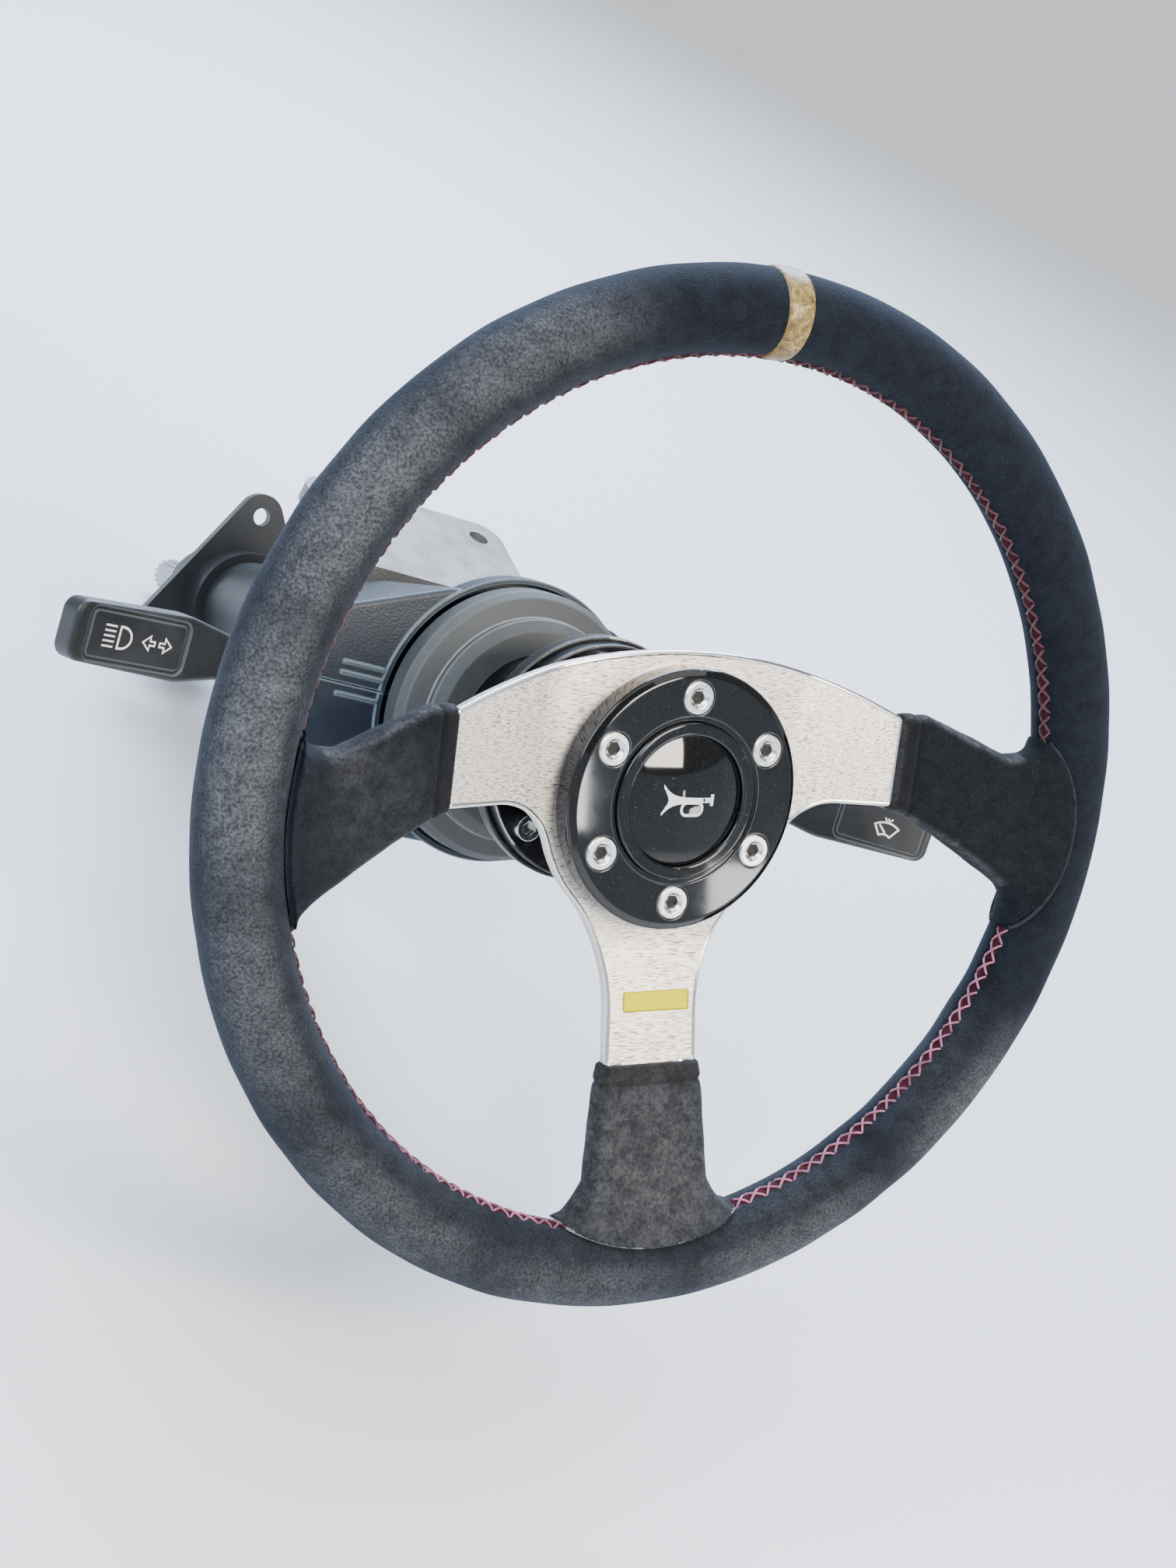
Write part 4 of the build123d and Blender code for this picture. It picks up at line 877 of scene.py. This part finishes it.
def onPaddle(side):
    # puts a drawing, read from the driver's seat, on the face of the left (-1) or right (1) paddle
    right = side > 0
    turn = math.radians(paddle["rightTurn"]) if right else 0.0
    elbow = paddle["elbow"][right]

    def lay(points):
        along = paddle["panelMiddle"][right] + side * points[:, 0]
        x = elbow[0] + along * math.cos(paddleLean) - paddle["face"] * math.sin(paddleLean)
        z = elbow[1] + along * math.sin(paddleLean) + paddle["face"] * math.cos(paddleLean) - paddle["root"]
        return np.stack([side * x, points[:, 1] * math.cos(turn) - z * math.sin(turn),
                         points[:, 1] * math.sin(turn) + z * math.cos(turn) + paddle["root"]], 1)
    return lay


# In the symbols, numbers without a unit are shares of the symbol's size.
def placed(points, x, y, size):
    return [(x + size * a, y + size * b) for a, b in points]


def beamSymbol(x, y, size):
    # main beam: a lamp with five level rays
    lamp = [(0.15, -0.5)] + arc(0.3, 0, 0.5, -90, 90, 14, 1.15) + [(0.15, 0.5)]
    rays = [[(-0.75, k * 0.24), (-0.1, k * 0.24)] for k in (-2, -1, 0, 1, 2)]
    return [(placed(lamp, x, y, size), paddle["ink"], True)] + [
        (placed(ray, x, y, size), paddle["ink"] * 0.8, False) for ray in rays]


def arrowSymbol(x, y, size, way):
    outline = [(0, 0.12), (0.42, 0.12), (0.42, 0.42), (1, 0), (0.42, -0.42), (0.42, -0.12), (0, -0.12)]
    return [(placed([(way * a, b * 1.1) for a, b in outline], x, y, size), paddle["ink"] * 0.75, True)]


def washerSymbol(x, y, size):
    # a windscreen with its wiper and a jet of water
    screen = arc(0, -1.25, 1.75, 125, 55, 14) + arc(0, -1.25, 0.8, 55, 125, 8)
    blade = [(0, -0.35), (-0.62, 0.22)]
    jets = [[(k * 0.12, 0.62), (k * 0.34, 0.86)] for k in (-1, 0, 1)]
    return [(placed(screen, x, y, size), paddle["ink"], True), (placed(blade, x, y, size), paddle["ink"], False)] + [
        (placed(jet, x, y, size), paddle["ink"] * 0.8, False) for jet in jets]


for name, side, drawing in (
        ("light", -1, beamSymbol(-9.3, 0, 7.3) + arrowSymbol(7.5, 0, 5.3, -1) + arrowSymbol(9.6, 0, 5.3, 1)),
        ("wiper", 1, washerSymbol(2, -0.5, 5.2))):
    newPiece(name + "Symbols", *inkLines(drawing, onPaddle(side)), "column", symbolInk, "stalk_plastic")

horn = {"size": 8.2, "line": 0.95, "domeRadius": 77.2, "top": 2.26}  # the ink lies just over the button's dome


def onDome(points):
    reach = np.hypot(points[:, 0], points[:, 1])
    return np.stack([points[:, 0], points[:, 1], horn["top"] - reach ** 2 / 2 / horn["domeRadius"]], 1)


def hornSymbol(size, line):
    # the usual bugle: a flared bell on a long tube, a loop under it and a mouthpiece
    bell = [(-1.25, 1.3), (-1.12, 0.98), (-0.98, 0.72), (-0.8, 0.5), (-0.55, 0.34), (-0.2, 0.26), (0.3, 0.22),
            (1.05, 0.2)]  # each place along it and its width there
    loop = [(x + 0.15, y - 0.36) for x, y in roundedBox(1.0, 0.52, 0.24)]
    widths = size * np.array([width for _, width in bell])
    return [(placed(stroke, 0, 0.1 * size, size), width, closed) for stroke, width, closed in (
        ([(a, 0.0) for a, _ in bell], widths, False), (loop, line, True),
        ([(1.12, 0.24), (1.12, -0.24)], 1.4 * line, False))]


newPiece("hornSymbol", *inkLines(hornSymbol(horn["size"], horn["line"]), onDome), "wheel", hornInk, "gloss_black")
print("label and symbols made")


# Floor, light and camera

studio = {"floor": -176.0, "flat": 2600.0, "rise": 1500.0, "wall": 900.0, "sides": 96, "rings": 40, "bends": 25,
          "paint": "#d9dbdc", "roller": 6.0, "room": "#e6eaee", "roomLight": 0.45, "middle": (0, -0.2, 0.04)}


def mattPaint():
    # Matt paint: an even pale grey with a faint roller texture
    material, where, add = newMaterial("mattPaint", "column")
    roller = add("TexNoise", {"Vector": where, "Scale": 1 / studio["roller"], "Detail": 3.0})
    bump = add("Bump", {"Strength": 0.05, "Distance": 0.0003, "Height": roller})
    shader = add("BsdfPrincipled", {
        "Base Color": hexColour(studio["paint"]), "Roughness": 0.85, "Normal": bump})
    add("OutputMaterial", {"Surface": shader})
    return material


def makeFloor():
    # a pale floor that curves up far away on every side, so that no horizon shows
    lean = np.linspace(0, math.pi / 2, studio["bends"])[1:]
    reach = np.concatenate([np.linspace(0.001, studio["flat"], studio["rings"]),  # from a pinhole in its middle
                            studio["flat"] + studio["rise"] * np.sin(lean)])
    height = np.concatenate([np.zeros(studio["rings"]), studio["rise"] * (1 - np.cos(lean))])
    reach, height = np.append(reach, reach[-1]), np.append(height, height[-1] + studio["wall"])
    turn = np.linspace(0, 2 * math.pi, studio["sides"], endpoint=False)
    points = np.stack([np.outer(np.cos(turn), reach), np.outer(np.sin(turn), reach),
                       np.tile(height + studio["floor"], (studio["sides"], 1))], -1).reshape(-1, 3)
    faces = gridFaces(studio["sides"], len(reach), closeColumns=False)
    newObject("studioFloor", points / 1000, faces, mattPaint())


makeFloor()

lights = [  # direction from the hub in degrees (azimuth, elevation), distance, width, height in metres, watts, colour
    ("softboxKey", -72, 42, 1.5, 0.55, 0.45, 32, "#fff4e6"),
    ("softboxLeft", 190, 38, 1.8, 1.3, 1.3, 48, "#dfebff"),
    ("softboxBack", 75, 38, 1.9, 1.4, 1.0, 100, "#cadfff"),
    ("softboxTop", 90, 88, 8.0, 9.0, 9.0, 480, "#ffffff"),
    ("windowLow", -49.5, 12.0, 1.8, 0.2, 0.12, 1.5, "#ffffff"),
    ("stripLeft", -57.8, 18.5, 1.8, 0.025, 0.22, 0.5, "#ffffff")]
for name, azimuth, elevation, distance, width, height, watts, colour in lights:
    lamp = bpy.data.lights.new(name, "AREA")
    lamp.shape, lamp.size, lamp.size_y = "RECTANGLE", width, height
    lamp.energy, lamp.color = watts, hexColour(colour)[:3]
    holder = bpy.data.objects.new(name, lamp)
    bpy.context.scene.collection.objects.link(holder)
    turn, lean = math.radians(azimuth), math.radians(elevation)
    away = Vector((math.cos(lean) * math.cos(turn), math.cos(lean) * math.sin(turn), math.sin(lean)))
    holder.location = Vector(studio["middle"]) + distance * away
    holder.rotation_euler = (-away).to_track_quat("-Z", "Y").to_euler()

world = bpy.data.worlds.new("paleRoom")
world.use_nodes = True
background = world.node_tree.nodes["Background"].inputs
background[0].default_value, background[1].default_value = hexColour(studio["room"]), studio["roomLight"]
bpy.context.scene.world = world

# where the photograph was taken from and what it looks at in metres, how far the camera leans over, its lens in mm
camera = {"place": (-0.42828, -0.74569, 0.37524), "aim": (-0.02696, -0.22096, 0.04165), "roll": 31.83,
          "lens": 51.0, "sensor": 36.0, "near": 0.02}
data = bpy.data.cameras.new("photoCamera")
data.lens, data.sensor_width, data.clip_start = camera["lens"], camera["sensor"], camera["near"]
photoCamera = bpy.data.objects.new("photoCamera", data)
bpy.context.scene.collection.objects.link(photoCamera)
photoCamera.location = camera["place"]
photoCamera.rotation_mode = "QUATERNION"
ahead = Vector(camera["aim"]) - Vector(camera["place"])
photoCamera.rotation_quaternion = ahead.to_track_quat("-Z", "Y") @ Quaternion(
    (0, 0, 1), math.radians(camera["roll"]))
bpy.context.scene.camera = photoCamera

print("camera and light set")
